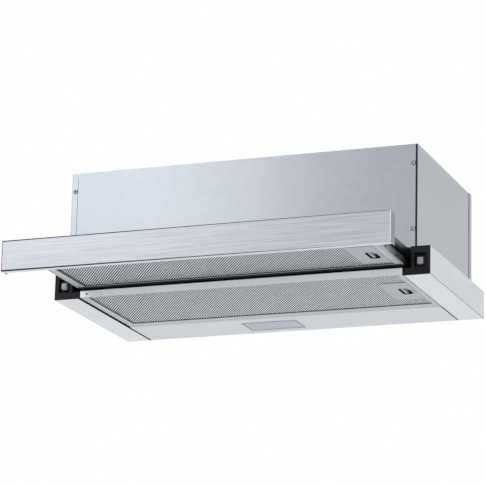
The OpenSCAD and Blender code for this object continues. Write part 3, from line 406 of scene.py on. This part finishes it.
def frosted_cover(name, colour, roughness):
    """Ribbed frosted lamp cover."""
    made = NodeMaterial(name, colour, roughness)
    ribs = made.tree.nodes.new("ShaderNodeTexWave")
    ribs.inputs["Scale"].default_value = COVER_RIBS
    made.tree.links.new(made.place, ribs.inputs["Vector"])
    frost = made.noise(COVER_FROST, detail=2.0)
    made.shade(made.ramp(frost, 0.94, 1.04))
    made.rough(frost, less=0.1, more=0.15)
    made.bump(ribs.outputs["Fac"], 0.15 * MM)
    made.set(Transmission_Weight=0.55, IOR=1.49)
    return made.material


MATERIALS = {
    # Sheet steel of the box, the base and the visor
    "satin_steel": satin_metal("satin steel", (0.355, 0.375, 0.41), 0.22),
    "front_steel": brushed_metal("visor front steel", (0.43, 0.45, 0.485), 0.28, "X"),
    "side_steel": brushed_metal("base side steel", (0.60, 0.63, 0.67), 0.34, "Y", contrast=0.06),
    "painted_grey": coated_metal("pale lacquered steel", (0.72, 0.745, 0.795), 0.34),
    # Its folds, edges and ends, as the light leaves them in the photograph
    # painted shade on the right side panel's folds and front corner; on the visor front only a mark for its
    # folds
    "dark_fold_shade": satin_metal("shaded steel fold", (0.022, 0.025, 0.032), 0.45),
    # painted shade along the visor front's edges, and on the right side's folds and underside strip edge
    "soft_fold_shade": moulded_plastic("shaded fold", (0.03, 0.033, 0.04), 0.55, texture=0.0, spread=0.03,
                                 specular=0.0),
    # painted highlight on the visor front's folds, lip and inner end faces
    "bright_fold_highlight": satin_metal("highlit steel fold", (0.72, 0.75, 0.79), 0.3),
    # painted shade on the rounded edges of the sheet steel, outer and inner corners alike
    "edge_shade": satin_metal("shaded steel edge", (0.05, 0.054, 0.06), 0.5),
    # painted shade on the visor front's outer end faces
    "end_shade_steel": satin_metal("shaded visor end steel", (0.20, 0.21, 0.23), 0.3),
    # painted light: a paler copy of the base side steel on the undersides of the base's sides
    "lit_strip_steel": satin_metal("lit underside strip steel", (0.76, 0.78, 0.81), 0.34),
    # Rails, screws and motor
    "black_steel": brushed_metal("black rail steel", (0.03, 0.03, 0.033), 0.34, "Y", contrast=0.2),
    "web_steel": satin_metal("rail web steel", (0.42, 0.43, 0.45), 0.4, grain=0.05),
    "zinc": satin_metal("zinc plated steel", (0.62, 0.63, 0.64), 0.3),
    "motor_metal": satin_metal("cast motor case", (0.42, 0.43, 0.45), 0.5, grain=0.08),
    # Filters
    "filter_aluminium": coated_metal("filter frame aluminium", (0.53, 0.555, 0.59), 0.4, metallic=0.3),
    # painted light and painted shade: lit and shaded copies of the filter aluminium on the lower filter's
    # front bar
    "lit_front_bar": coated_metal("lit front bar aluminium", (0.90, 0.92, 0.95), 0.4, metallic=0.2),
    "shaded_bar": coated_metal("shaded front bar underside", (0.35, 0.37, 0.39), 0.4, metallic=0.3),
    "filter_mesh": satin_metal("filter strand aluminium", (0.74, 0.77, 0.80), 0.42, grain=0.06),
    # painted shade: a darker copy of the strand aluminium for the inner layer of strands
    "shaded_filter_cross": satin_metal("shaded inner filter strands", (0.20, 0.21, 0.22), 0.5, grain=0.06),
    "filter_back": satin_metal("filter back aluminium", (0.42, 0.44, 0.46), 0.5, grain=0.3),
    # painted shade: dark sheets standing in for the depth of the filter
    "filter_depth_shade": moulded_plastic("inner filter layers shade", (0.022, 0.023, 0.025), 0.7, spread=0.3,
                                    specular=0.2),
    # Plastics, rubber and lamp
    "black_plastic": moulded_plastic("black plastic", (0.010, 0.010, 0.011), 0.5, specular=0.2),
    "grey_plastic": moulded_plastic("grey plastic", (0.17, 0.18, 0.20), 0.5),
    "silver_plastic": moulded_plastic("silver plastic", (0.33, 0.34, 0.36), 0.3, texture=0.02 * MM),
    "white_plastic": moulded_plastic("white plastic", (0.80, 0.80, 0.78), 0.4),
    "white_board": moulded_plastic("white board", (0.86, 0.86, 0.84), 0.5, texture=0.01 * MM),
    "black_rubber": moulded_plastic("black rubber", (0.02, 0.02, 0.02), 0.65),
    # painted shade: finger cups, screw recesses and the shadows round their heads, filter grooves and the
    # left underside strip's edge
    "painted_shade": moulded_plastic("painted shade black", (0.012, 0.012, 0.013), 0.6, specular=0.0),
    "latch_plastic": smooth_plastic("latch plastic", (0.46, 0.49, 0.52), 0.38),
    # painted shade in the latch plates' thumb dips
    "dip_shade_plastic": smooth_plastic("thumb dip", (0.36, 0.38, 0.41), 0.45),
    "lamp_glass": frosted_cover("frosted lamp cover", (0.86, 0.93, 1.0), 0.35),
}

# Nodes whose finish differs from the one that their slot gives
FINISH_OF = {
    "visor_front": "front_steel",
    "left_side_channel": "side_steel",
    "right_side_channel": "side_steel",
    "tray_rivets": "black_steel",
}
# Steel sheets, whose edges get painted shade as thin dark lines, and the finishes that their faces may have
# besides
SHEET_STEELS = ("satin_steel", "front_steel", "side_steel")
SHEET_FINISHES = (
    "edge_shade", "dark_fold_shade", "soft_fold_shade", "bright_fold_highlight", "end_shade_steel", "painted_shade", "lit_strip_steel",
)
# Finishes that the faces of other nodes may have besides their own
MORE_FINISHES = {
    # black_rubber on the visor's tray and filter frame is painted shade over their rear bars
    "visor_tray": ("black_rubber",),
    "visor_filter_frame": ("black_rubber", "painted_shade"),
    "base_filter_frame": ("lit_front_bar", "painted_shade", "shaded_bar"),
    "visor_latch_plate": ("painted_shade", "dip_shade_plastic"),
    "base_latch_plate": ("painted_shade", "dip_shade_plastic"),
    "left_inner_rail": ("web_steel",),
    "right_inner_rail": ("web_steel",),
}


# Making pieces

def finishes_of(node):
    """The finishes of a node's faces: its own, then those that are painted on."""
    own = FINISH_OF.get(node, SLOT_OF[node])
    return (own, *(SHEET_FINISHES if own in SHEET_STEELS else MORE_FINISHES.get(node, ())))


def new_piece(name, bm, finishes, node):
    """A mesh object from a bmesh, in place of a node, that rides on the node's body."""
    mesh = bpy.data.meshes.new(name)
    bm.to_mesh(mesh)
    bm.free()
    for finish in finishes:
        mesh.materials.append(MATERIALS[finish])
    piece = bpy.data.objects.new(name, mesh)
    bpy.context.scene.collection.objects.link(piece)
    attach(piece, BODY_OF[node])
    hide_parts(node)
    return piece


def points_of(node):
    """The corners of a CAD node."""
    return [v.co for v in frame["nodes"][node].data.vertices]


def face_width(face):
    """About the shorter side of a face."""
    return face.calc_area() / max(NO_LENGTH, max(edge.calc_length() for edge in face.edges))


class Shell:
    """A CAD node's own shape, to be rounded and to have its faces painted."""

    def __init__(self, node):
        self.node = node
        self.finishes = finishes_of(node)
        self.low, self.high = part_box(node)
        self.bm = bmesh.new()
        source = frame["nodes"][node].data
        corners = [self.bm.verts.new(v.co) for v in source.vertices]
        for polygon in source.polygons:
            face = [corners[i] for i in polygon.vertices]
            if not self.bm.faces.get(face):
                self.bm.faces.new(face)
        bmesh.ops.remove_doubles(self.bm, verts=self.bm.verts, dist=SAME_POINT)
        bmesh.ops.dissolve_limit(self.bm, angle_limit=FLAT_ANGLE, verts=self.bm.verts, edges=self.bm.edges)

    def finish_at(self, face):
        return self.finishes[face.material_index]

    def is_bare(self, face):
        """Whether a face has the node's own finish."""
        return face.material_index == 0

    def cut(self, place, normal):
        """Divide the faces that a plane crosses."""
        geometry = self.bm.verts[:] + self.bm.edges[:] + self.bm.faces[:]
        bmesh.ops.bisect_plane(self.bm, geom=geometry, dist=SAME_POINT, plane_co=place,
                               plane_no=Vector(normal).normalized())

    def paint(self, choose):
        """Give each face the finish that choose(face, centre) names, if it names one."""
        for face in self.bm.faces:
            finish = choose(face, face.calc_center_median())
            if finish:
                face.material_index = self.finishes.index(finish)

    def sharp_edges(self):
        return [edge for edge in self.bm.edges
                if len(edge.link_faces) == 2 and edge.calc_face_angle() > SHARP_ANGLE]

    def bevel(self, edges, radius, steps, finish_index):
        bmesh.ops.bevel(self.bm, geom=edges, offset=radius, segments=steps, profile=BEVEL_PROFILE,
                        affect="EDGES", clamp_overlap=True, material=finish_index)

    def round_folds(self, radius, finish, above):
        """Round the long edges between wide faces, and give them a finish above a height."""
        folds = [edge for edge in self.sharp_edges()
                 if edge.is_convex and edge.calc_length() > FOLDED_LENGTH
                 and min(face_width(face) for face in edge.link_faces) > FOLDED_WIDTH]
        self.bevel(folds, radius, FOLD_STEPS, self.finishes.index(finish) if finish else 0)
        own, end_z = self.finishes[0], self.low.z + above
        self.paint(lambda face, centre: own if centre.z <= end_z else None)

    def round_edges(self):
        """Round the other sharp edges, which on sheet steel get painted shade."""
        at_edge = self.finishes.index("edge_shade") if "edge_shade" in self.finishes else KEEP_FINISH
        self.bevel(self.sharp_edges(), EDGE_RADIUS.get(self.node, SHEET_EDGE), EDGE_STEPS, at_edge)
        bmesh.ops.recalc_face_normals(self.bm, faces=self.bm.faces)
        for face in self.bm.faces:
            face.smooth = self.node not in FLAT_NODES or face_width(face) < SMOOTH_WIDTH


def paint_visor_front(shell):
    """Painted shade in lines along the face's upper, lower and left edges, painted highlight on folds, lip
    and inner ends, painted shade on outer ends.
    """
    end_x = shell.high.x
    left_line = LEFT_LINE - end_x
    lower_slope = -LOWER_LINE / (2 * end_x - LINE_STOP)
    upper_slope = (UPPER_LINE - THIN_LINE) / (2 * end_x)
    lower_start, upper_start = shell.low.z + LOWER_LINE, shell.high.z - UPPER_LINE
    shell.cut((left_line, 0, 0), (1, 0, 0))
    shell.cut((-end_x, 0, lower_start), (-lower_slope, 0, 1))
    shell.cut((-end_x, 0, upper_start), (-upper_slope, 0, 1))

    def in_line(face, centre):
        """Whether a face looks forward and lies in one of the three lines."""
        along = centre.x + end_x
        below = face.normal.z > -WHOLLY and centre.z < lower_start + lower_slope * along
        above = centre.z > upper_start + upper_slope * along
        return face.normal.y < -LITTLE and (below or above or centre.x < left_line)

    def choose(face, centre):
        is_fold = shell.finish_at(face) == "dark_fold_shade"
        is_upright = abs(face.normal.z) < UPRIGHT
        is_wide = face_width(face) > PAINTED_WIDTH
        from_end = end_x - abs(centre.x)
        if is_fold and is_upright and centre.x > 0:
            return "bright_fold_highlight"
        if in_line(face, centre):
            return "soft_fold_shade"
        if is_fold:
            return "bright_fold_highlight" if centre.x > left_line else "soft_fold_shade"
        if is_upright and is_wide and from_end < INNER_END and centre.x * face.normal.x < 0:
            return "bright_fold_highlight"
        if centre.z < shell.low.z + LIP_HEIGHT and face.calc_area() > LIP_AREA:
            return "bright_fold_highlight" if face.normal.z < -NEARLY else shell.finishes[0]
        if is_wide and from_end < OUTER_END and abs(face.normal.x) > NEARLY:
            return "end_shade_steel"
        return None

    shell.paint(choose)


def paint_corner_shade(shell):
    """Painted shade as a dark line along the upright front corner of the right side panel."""
    shade_x, shade_y = shell.high.x - CORNER_SHADE_WIDTH, shell.low.y + CORNER_SHADE_DEPTH
    shell.cut((shade_x, 0, 0), (1, 0, 0))
    shell.cut((0, shade_y, 0), (0, 1, 0))

    def in_corner_shade(face, centre):
        return centre.x > shade_x and centre.y < shade_y and abs(face.normal.z) < MOSTLY

    shell.paint(lambda face, centre: "dark_fold_shade" if in_corner_shade(face, centre) else None)


def paint_strip(shell):
    """Painted light on the pale underside of one side of the base, and painted shade along its inner edge.
    """

    def is_underside(face):
        return shell.is_bare(face) and face.normal.z < -NEARLY and face_width(face) > PAINTED_WIDTH

    shell.paint(lambda face, centre: "lit_strip_steel" if is_underside(face) else None)
    width, finish = STRIP_SHADE[shell.node]
    inner_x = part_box("right_side_channel")[0].x
    line_end = inner_x + width
    side = 1 if shell.low.x > 0 else -1
    shell.cut((side * line_end, 0, 0), (1, 0, 0))
    top = shell.low.z + STRIP_SHADE_HEIGHT

    def in_line(centre):
        return inner_x - STRIP_SHADE_LAP < abs(centre.x) < line_end and centre.z < top

    shell.paint(lambda face, centre: finish if in_line(centre) else None)


def rear_bar_start(shell):
    return shell.high.y - REAR_BAR_SHADE[shell.node]


def paint_rear_bar_shade(shell):
    """Painted shade, in black rubber, on the bar behind the window of the visor's filter."""
    start = rear_bar_start(shell)
    shell.paint(lambda face, centre: "black_rubber" if centre.y > start else None)


def window_of(node):
    """The left, front and rear edges of the window in a filter's frame."""
    points = points_of(node)
    low_z = min(p.z for p in points)
    flat = [p for p in points if p.z < low_z + FRAME_LEVEL]
    levels = [p.y for p in flat if p.x > 0]
    front, rear = min(levels) + FRONT_RIM, max(levels) - REAR_RIM
    return (max(p.x for p in flat if p.x < 0), min(y for y in levels if y > front),
            max(y for y in levels if y < rear))


def paint_groove_shade(shell):
    """Painted shade as a dark groove along the window's hinged end, and on the underside of the lower
    filter's front bar.
    """
    left, front, rear = window_of(shell.node)
    start = left - GROOVE_SHADE[shell.node]
    shell.cut((start, 0, 0), (1, 0, 0))
    shell.cut((0, front, 0), (0, 1, 0))
    shell.cut((0, rear, 0), (0, 1, 0))
    underside = shell.low.z + UNDERSIDE

    def choose(face, centre):
        if centre.z > underside or face.normal.z > -HALF:
            return None
        if start < centre.x < left + GROOVE_SHADE_LAP and front < centre.y < rear:
            return "painted_shade"
        if "shaded_bar" in shell.finishes and centre.y < front:
            return "shaded_bar"
        return None

    shell.paint(choose)


def paint_front_bar_light(shell):
    """Painted light on the front of the lower filter."""
    front = shell.low.y + BAR_FRONT
    shell.paint(lambda face, centre: "lit_front_bar" if face.normal.y < -MOSTLY and centre.y < front else None)


def paint_latch_plate(shell):
    """Painted shade inside the finger cup and in the thumb dip."""

    def choose(face, centre):
        rise = centre.z - shell.low.z
        if rise > CUP_RISE:
            return "painted_shade"
        return "dip_shade_plastic" if rise > DIP_RISE and abs(face.normal.z) > MOSTLY else None

    shell.paint(choose)


def paint_web(shell):
    """The pale web of an inner rail."""
    top = shell.low.z + WEB_HEIGHT
    shell.cut((0, 0, top), (0, 0, 1))
    shell.paint(lambda face, centre: "web_steel" if centre.z < top else None)


# What is painted on a node, in this order
PAINTERS = {
    "visor_front": (paint_visor_front,),
    "right_side_panel": (paint_corner_shade,),
    "left_side_channel": (paint_strip,),
    "right_side_channel": (paint_strip,),
    "visor_tray": (paint_rear_bar_shade,),
    "visor_filter_frame": (paint_rear_bar_shade, paint_groove_shade),
    "base_filter_frame": (paint_groove_shade, paint_front_bar_light),
    "visor_latch_plate": (paint_latch_plate,),
    "base_latch_plate": (paint_latch_plate,),
    "left_inner_rail": (paint_web,),
    "right_inner_rail": (paint_web,),
}


def rounded(node):
    """A CAD node's own shape with its sharp edges rounded and its faces painted."""
    shell = Shell(node)
    if node in REAR_BAR_SHADE:
        shell.cut((0, rear_bar_start(shell), 0), (0, 1, 0))
    if node in FOLDS:
        shell.round_folds(*FOLDS[node])
    shell.round_edges()
    for paint in PAINTERS.get(node, ()):
        paint(shell)
    piece = new_piece(f"{node}_shell", shell.bm, shell.finishes, node)
    weighted = piece.modifiers.new("even_normals", "WEIGHTED_NORMAL")
    weighted.weight = NORMAL_WEIGHT
    weighted.keep_sharp = False


# Filter mesh

def strand_runs(low, high, hole, slope):
    """Where parallel strands cross the rectangle low..high outside hole: pairs of end points.

    slope is +1 or -1: the strands lean to the right or to the left as they go to the back.
    """
    (x0, y0), (x1, y1) = low, high
    (hole_x0, hole_y0), (hole_x1, hole_y1) = hole
    lean = slope * DIAMOND_X / DIAMOND_Y
    depth = y1 - y0
    first = x0 - max(0.0, lean * depth)
    last = x1 - min(0.0, lean * depth)
    runs = []
    for k in range(int((last - first) / DIAMOND_X) + 1):
        start_x = first + k * DIAMOND_X

        def span(a, b):
            """The stretch of y in which x is between a and b."""
            ends = sorted(((a - start_x) / lean + y0, (b - start_x) / lean + y0))
            return max(ends[0], y0), min(ends[1], y1)

        start, end = span(x0, x1)
        if end - start < SHORTEST_STRAND:
            continue
        hole_start, hole_end = span(hole_x0, hole_x1)
        hole_start, hole_end = max(hole_start, hole_y0), min(hole_end, hole_y1)
        pieces = [(start, end)] if hole_end <= hole_start else [(start, hole_start), (hole_end, end)]
        runs += [((start_x + lean * (a - y0), a), (start_x + lean * (b - y0), b))
                 for a, b in pieces if b - a > SHORTEST_STRAND]
    return runs


def add_strand(bm, start, end, low_z, width, thickness):
    """A flat strand with chamfered lower edges."""
    direction = Vector((end[0] - start[0], end[1] - start[1], 0.0)).normalized()
    side = direction.cross(Vector((0.0, 0.0, 1.0)))
    half, crest = width / 2, width * STRAND_CREST
    high_z = low_z + thickness
    outline = [(-half, high_z), (half, high_z), (crest, low_z), (-crest, low_z)]
    rings = [[bm.verts.new(Vector((x, y, z)) + side * offset) for offset, z in outline]
             for x, y in (start, end)]
    for i in range(4):
        j = (i + 1) % 4
        bm.faces.new((rings[0][i], rings[0][j], rings[1][j], rings[1][i]))
    bm.faces.new(rings[0][::-1])
    bm.faces.new(rings[1])


def add_box(bm, low, high):
    centre = (Vector(low) + Vector(high)) / 2
    size = Vector(high) - Vector(low)
    for vert in bmesh.ops.create_cube(bm, size=1.0)["verts"]:
        vert.co = centre + Vector(c * s for c, s in zip(vert.co, size))


def cup_box(plate_node):
    """The plan of a latch plate's finger cup, which stands up through the mesh."""
    points = points_of(plate_node)
    top = max(p.z for p in points)
    near = [p for p in points if p.z > top - SAME_LEVEL]
    return ((min(p.x for p in near) - CUP_MARGIN, min(p.y for p in near) - CUP_MARGIN),
            (max(p.x for p in near) + CUP_MARGIN, max(p.y for p in near) + CUP_MARGIN))


def add_strands(node, kind, finish, runs, low_z, width, thickness):
    """One layer of parallel strands, as a piece."""
    bm = bmesh.new()
    for start, end in runs:
        add_strand(bm, start, end, low_z, width, thickness)
    bmesh.ops.recalc_face_normals(bm, faces=bm.faces)
    new_piece(f"{node}_{kind}_strands", bm, (finish,), node)


def expanded_mesh(node, frame_node, plate_node, short_x):
    """The two crossing layers of strands of one filter, the inner one in painted shade, and dark sheets of
    painted shade behind them.
    """
    low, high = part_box(node)
    cup = cup_box(plate_node)
    window_left, _, window_rear = window_of(frame_node)
    ends = (window_left + short_x, low[1]), (high[0], window_rear - MESH_SHORT_Y)
    main_z = low[2] + STRAND_RISE
    cross_z = main_z + MAIN_STRAND[1] * STRAND_CLEAR
    back_z = cross_z + CROSS_STRAND[1] * STRAND_CLEAR + DEPTH_GAP
    add_strands(node, "main", "filter_mesh", strand_runs(*ends, cup, -1), main_z, *MAIN_STRAND)
    add_strands(node, "cross", "shaded_filter_cross", strand_runs(*ends, cup, 1), cross_z, *CROSS_STRAND)

    bm = bmesh.new()
    (cup_x0, cup_y0), (cup_x1, cup_y1) = cup
    (x0, y0), (x1, y1) = (low[0], low[1]), (high[0], high[1])
    round_cup = (((x0, y0), (cup_x0, y1)), ((cup_x1, y0), (x1, y1)),
                 ((cup_x0, y0), (cup_x1, cup_y0)), ((cup_x0, cup_y1), (cup_x1, y1)))
    for near, far in round_cup:
        add_box(bm, (*near, back_z), (*far, back_z + DEPTH_SHEET))
    add_box(bm, (x0, y0, high[2] - BACK_SHEET), (x1, y1, high[2]))
    for face in bm.faces:
        face.material_index = 1 if face.calc_center_median().z > high[2] - SAME_LEVEL else 0
    new_piece(f"{node}_shaded_inner_layers", bm, ("filter_depth_shade", "filter_back"), node)


# Screws

def islands(mesh):
    """The separate solids of a mesh, each as a list of points."""
    bm = bmesh.new()
    bm.from_mesh(mesh)
    bmesh.ops.remove_doubles(bm, verts=bm.verts, dist=SAME_POINT)
    seen, found = set(), []
    for first in bm.verts:
        if first in seen:
            continue
        seen.add(first)
        queue, points = [first], []
        while queue:
            vert = queue.pop()
            points.append(vert.co.copy())
            fresh = {edge.other_vert(vert) for edge in vert.link_edges} - seen
            seen |= fresh
            queue += fresh
        found.append(points)
    bm.free()
    return found


def add_turned(bm, place, profile):
    """A solid of revolution from a profile of (radius, height), closed at both ends."""
    angles = [2 * math.pi * i / TURNED_SIDES for i in range(TURNED_SIDES)]
    rings = []
    for radius, height in profile:
        corners = [(radius * math.cos(a), radius * math.sin(a)) for a in angles] if radius else [(0.0, 0.0)]
        rings.append([bm.verts.new(place @ Vector((x, y, height))) for x, y in corners])
    for low, high in zip(rings, rings[1:]):
        for i in range(TURNED_SIDES):
            j = (i + 1) % TURNED_SIDES
            corners = [low[i % len(low)], low[j % len(low)], high[j % len(high)], high[i % len(high)]]
            bm.faces.new(list(dict.fromkeys(corners)))


def measured_screw(points):
    """A plain CAD screw: frame at its head's seat, radius and height of the head, and those of the shank."""
    low = Vector(min(p[k] for p in points) for k in range(3))
    high = Vector(max(p[k] for p in points) for k in range(3))
    size = high - low
    # Across its axis a screw has the head's width twice, so the axis is where its size differs from both
    axis = max(range(3), key=lambda k: min(abs(size[k] - size[j]) for j in range(3) if j != k))
    unit = Vector(1.0 if k == axis else 0.0 for k in range(3))
    middle = (low + high) / 2

    def off_axis(point):
        arm = point - middle
        return (arm - arm.project(unit)).length

    def radius_at(end):
        return max(off_axis(p) for p in points if abs(p[axis] - end) < SAME_LEVEL)

    sign = 1.0 if radius_at(high[axis]) > radius_at(low[axis]) else -1.0
    top, tip = (high[axis], low[axis]) if sign > 0 else (low[axis], high[axis])
    head_r, shank_r = radius_at(top), radius_at(tip)
    of_head = [p[axis] for p in points if off_axis(p) > (head_r + shank_r) / 2]
    head_h = max(of_head) - min(of_head)
    seat = middle + unit * (top - sign * head_h - middle[axis])
    turn = (unit * sign).to_track_quat("Z", "Y").to_matrix().to_4x4()
    return Matrix.Translation(seat) @ turn, head_r, head_h, shank_r, abs(top - tip) - head_h


def add_screw(metal, dark, points):
    """A domed screw in place of a plain one, with painted shade in its cross recess and a painted shadow
    round it.
    """
    place, head_r, head_h, shank_r, shank_l = measured_screw(points)
    rim, crown = HEAD_RIM * head_h, HEAD_CROWN * head_h
    dome = [(head_r * math.cos(a), rim + crown * math.sin(a)) for a in DOME_ANGLES]
    add_turned(metal, place, [(0.0, -shank_l), (shank_r, -shank_l), (shank_r, 0.0), (head_r, 0.0),
                              *dome, (0.0, rim + crown)])
    shadow_r = head_r * SHADOW_SPREAD
    add_turned(dark, place, [(0.0, SHADOW_LOW), (shadow_r, SHADOW_LOW),
                             (shadow_r, SHADOW_HIGH), (0.0, SHADOW_HIGH)])
    for length, width in ((CROSS_LONG, CROSS_WIDE), (CROSS_WIDE, CROSS_LONG)):
        for vert in bmesh.ops.create_cube(dark, size=1.0)["verts"]:
            x, y, z = vert.co
            vert.co = place @ Vector((x * 2 * length * head_r, y * 2 * width * head_r,
                                      (CROSS_MIDDLE + z * CROSS_DEPTH) * head_h))


def screws(node):
    """Domed cross-recess screws in place of the plain ones of a CAD node."""
    metal, dark = bmesh.new(), bmesh.new()
    for points in islands(frame["nodes"][node].data):
        add_screw(metal, dark, points)
    for bm, finish, part in ((metal, "zinc", "heads"), (dark, "painted_shade", "recesses_and_shadow")):
        bmesh.ops.recalc_face_normals(bm, faces=bm.faces)
        for face in bm.faces:
            face.smooth = bm is metal
        new_piece(f"{node}_{part}", bm, (finish,), node)


for node in BODY_OF:
    if node in SCREW_NODES:
        screws(node)
    elif node not in FILTERS:
        rounded(node)
for node, around in FILTERS.items():
    expanded_mesh(node, *around)


# Floor, light and camera

def seen_directly(tree):
    """1 for what the camera, a gloss or a clear part sees, otherwise 0."""
    path = tree.nodes.new("ShaderNodeLightPath")
    seen = path.outputs["Is Camera Ray"]
    for name in ("Is Glossy Ray", "Is Transmission Ray"):
        most = tree.nodes.new("ShaderNodeMath")
        most.operation = "MAXIMUM"
        tree.links.new(seen, most.inputs[0])
        tree.links.new(path.outputs[name], most.inputs[1])
        seen = most.outputs["Value"]
    return seen


def floor_material():
    """Pale floor that takes the object's shadow and is near white where it is seen or mirrored."""
    made = NodeMaterial("floor", FLOOR_COLOUR, 0.7)
    made.shade(made.ramp(made.noise(FLOOR_SPECKLE, detail=3.0), 0.99, 1.01))
    glow = made.ramp(seen_directly(made.tree), 0.0, FLOOR_GLOW, span=(0.0, 1.0))
    made.tree.links.new(glow, made.shader.inputs["Emission Strength"])
    made.set(Emission_Color=WHITE)
    return made.material


def make_floor():
    bm = bmesh.new()
    bmesh.ops.create_grid(bm, x_segments=1, y_segments=1, size=FLOOR_HALF)
    mesh = bpy.data.meshes.new("floor")
    bm.to_mesh(mesh)
    bm.free()
    mesh.materials.append(floor_material())
    floor = bpy.data.objects.new("floor", mesh)
    floor.location.z = FLOOR_Z
    bpy.context.scene.collection.objects.link(floor)


def make_world():
    """White where the camera, a gloss or a clear part sees it, and softer where it only lights."""
    world = bpy.data.worlds.new("studio")
    bpy.context.scene.world = world
    world.use_nodes = True
    tree = world.node_tree
    tree.nodes.clear()
    strength = tree.nodes.new("ShaderNodeMapRange")
    strength.inputs["To Min"].default_value = AMBIENT
    strength.inputs["To Max"].default_value = 1.0
    tree.links.new(seen_directly(tree), strength.inputs["Value"])
    background = tree.nodes.new("ShaderNodeBackground")
    background.inputs["Color"].default_value = WHITE
    tree.links.new(strength.outputs["Result"], background.inputs["Strength"])
    output = tree.nodes.new("ShaderNodeOutputWorld")
    tree.links.new(background.outputs["Background"], output.inputs["Surface"])


def area_light(name, place, aim, size, power):
    light = bpy.data.lights.new(name, "AREA")
    light.shape = "RECTANGLE"
    light.size, light.size_y = size
    light.energy = power
    lamp = bpy.data.objects.new(name, light)
    lamp.location = place
    direction = Vector(aim) - Vector(place)
    lamp.rotation_euler = direction.to_track_quat("-Z", "Y").to_euler()
    bpy.context.scene.collection.objects.link(lamp)


def make_camera():
    flat = math.cos(CAMERA_ELEVATION)
    back = Vector((math.sin(CAMERA_AZIMUTH) * flat, -math.cos(CAMERA_AZIMUTH) * flat,
                   math.sin(CAMERA_ELEVATION)))
    right = (-back).cross(Vector((0.0, 0.0, 1.0))).normalized()
    up = right.cross(-back)
    tilted_right = math.cos(CAMERA_ROLL) * right + math.sin(CAMERA_ROLL) * up
    tilted_up = math.cos(CAMERA_ROLL) * up - math.sin(CAMERA_ROLL) * right
    data = bpy.data.cameras.new("camera")
    data.lens = CAMERA_LENS_MM
    data.sensor_width = CAMERA_SENSOR_MM
    data.clip_end = CAMERA_CLIP_END
    camera = bpy.data.objects.new("camera", data)
    turn = Matrix((tilted_right, tilted_up, back)).transposed().to_4x4()
    camera.matrix_world = Matrix.Translation(CAMERA_TARGET + back * CAMERA_DISTANCE) @ turn
    bpy.context.scene.collection.objects.link(camera)
    bpy.context.scene.camera = camera


make_floor()
make_world()
for name, settings in LAMPS.items():
    area_light(name, *settings)
make_camera()
bpy.context.scene.view_settings.view_transform = "Standard"
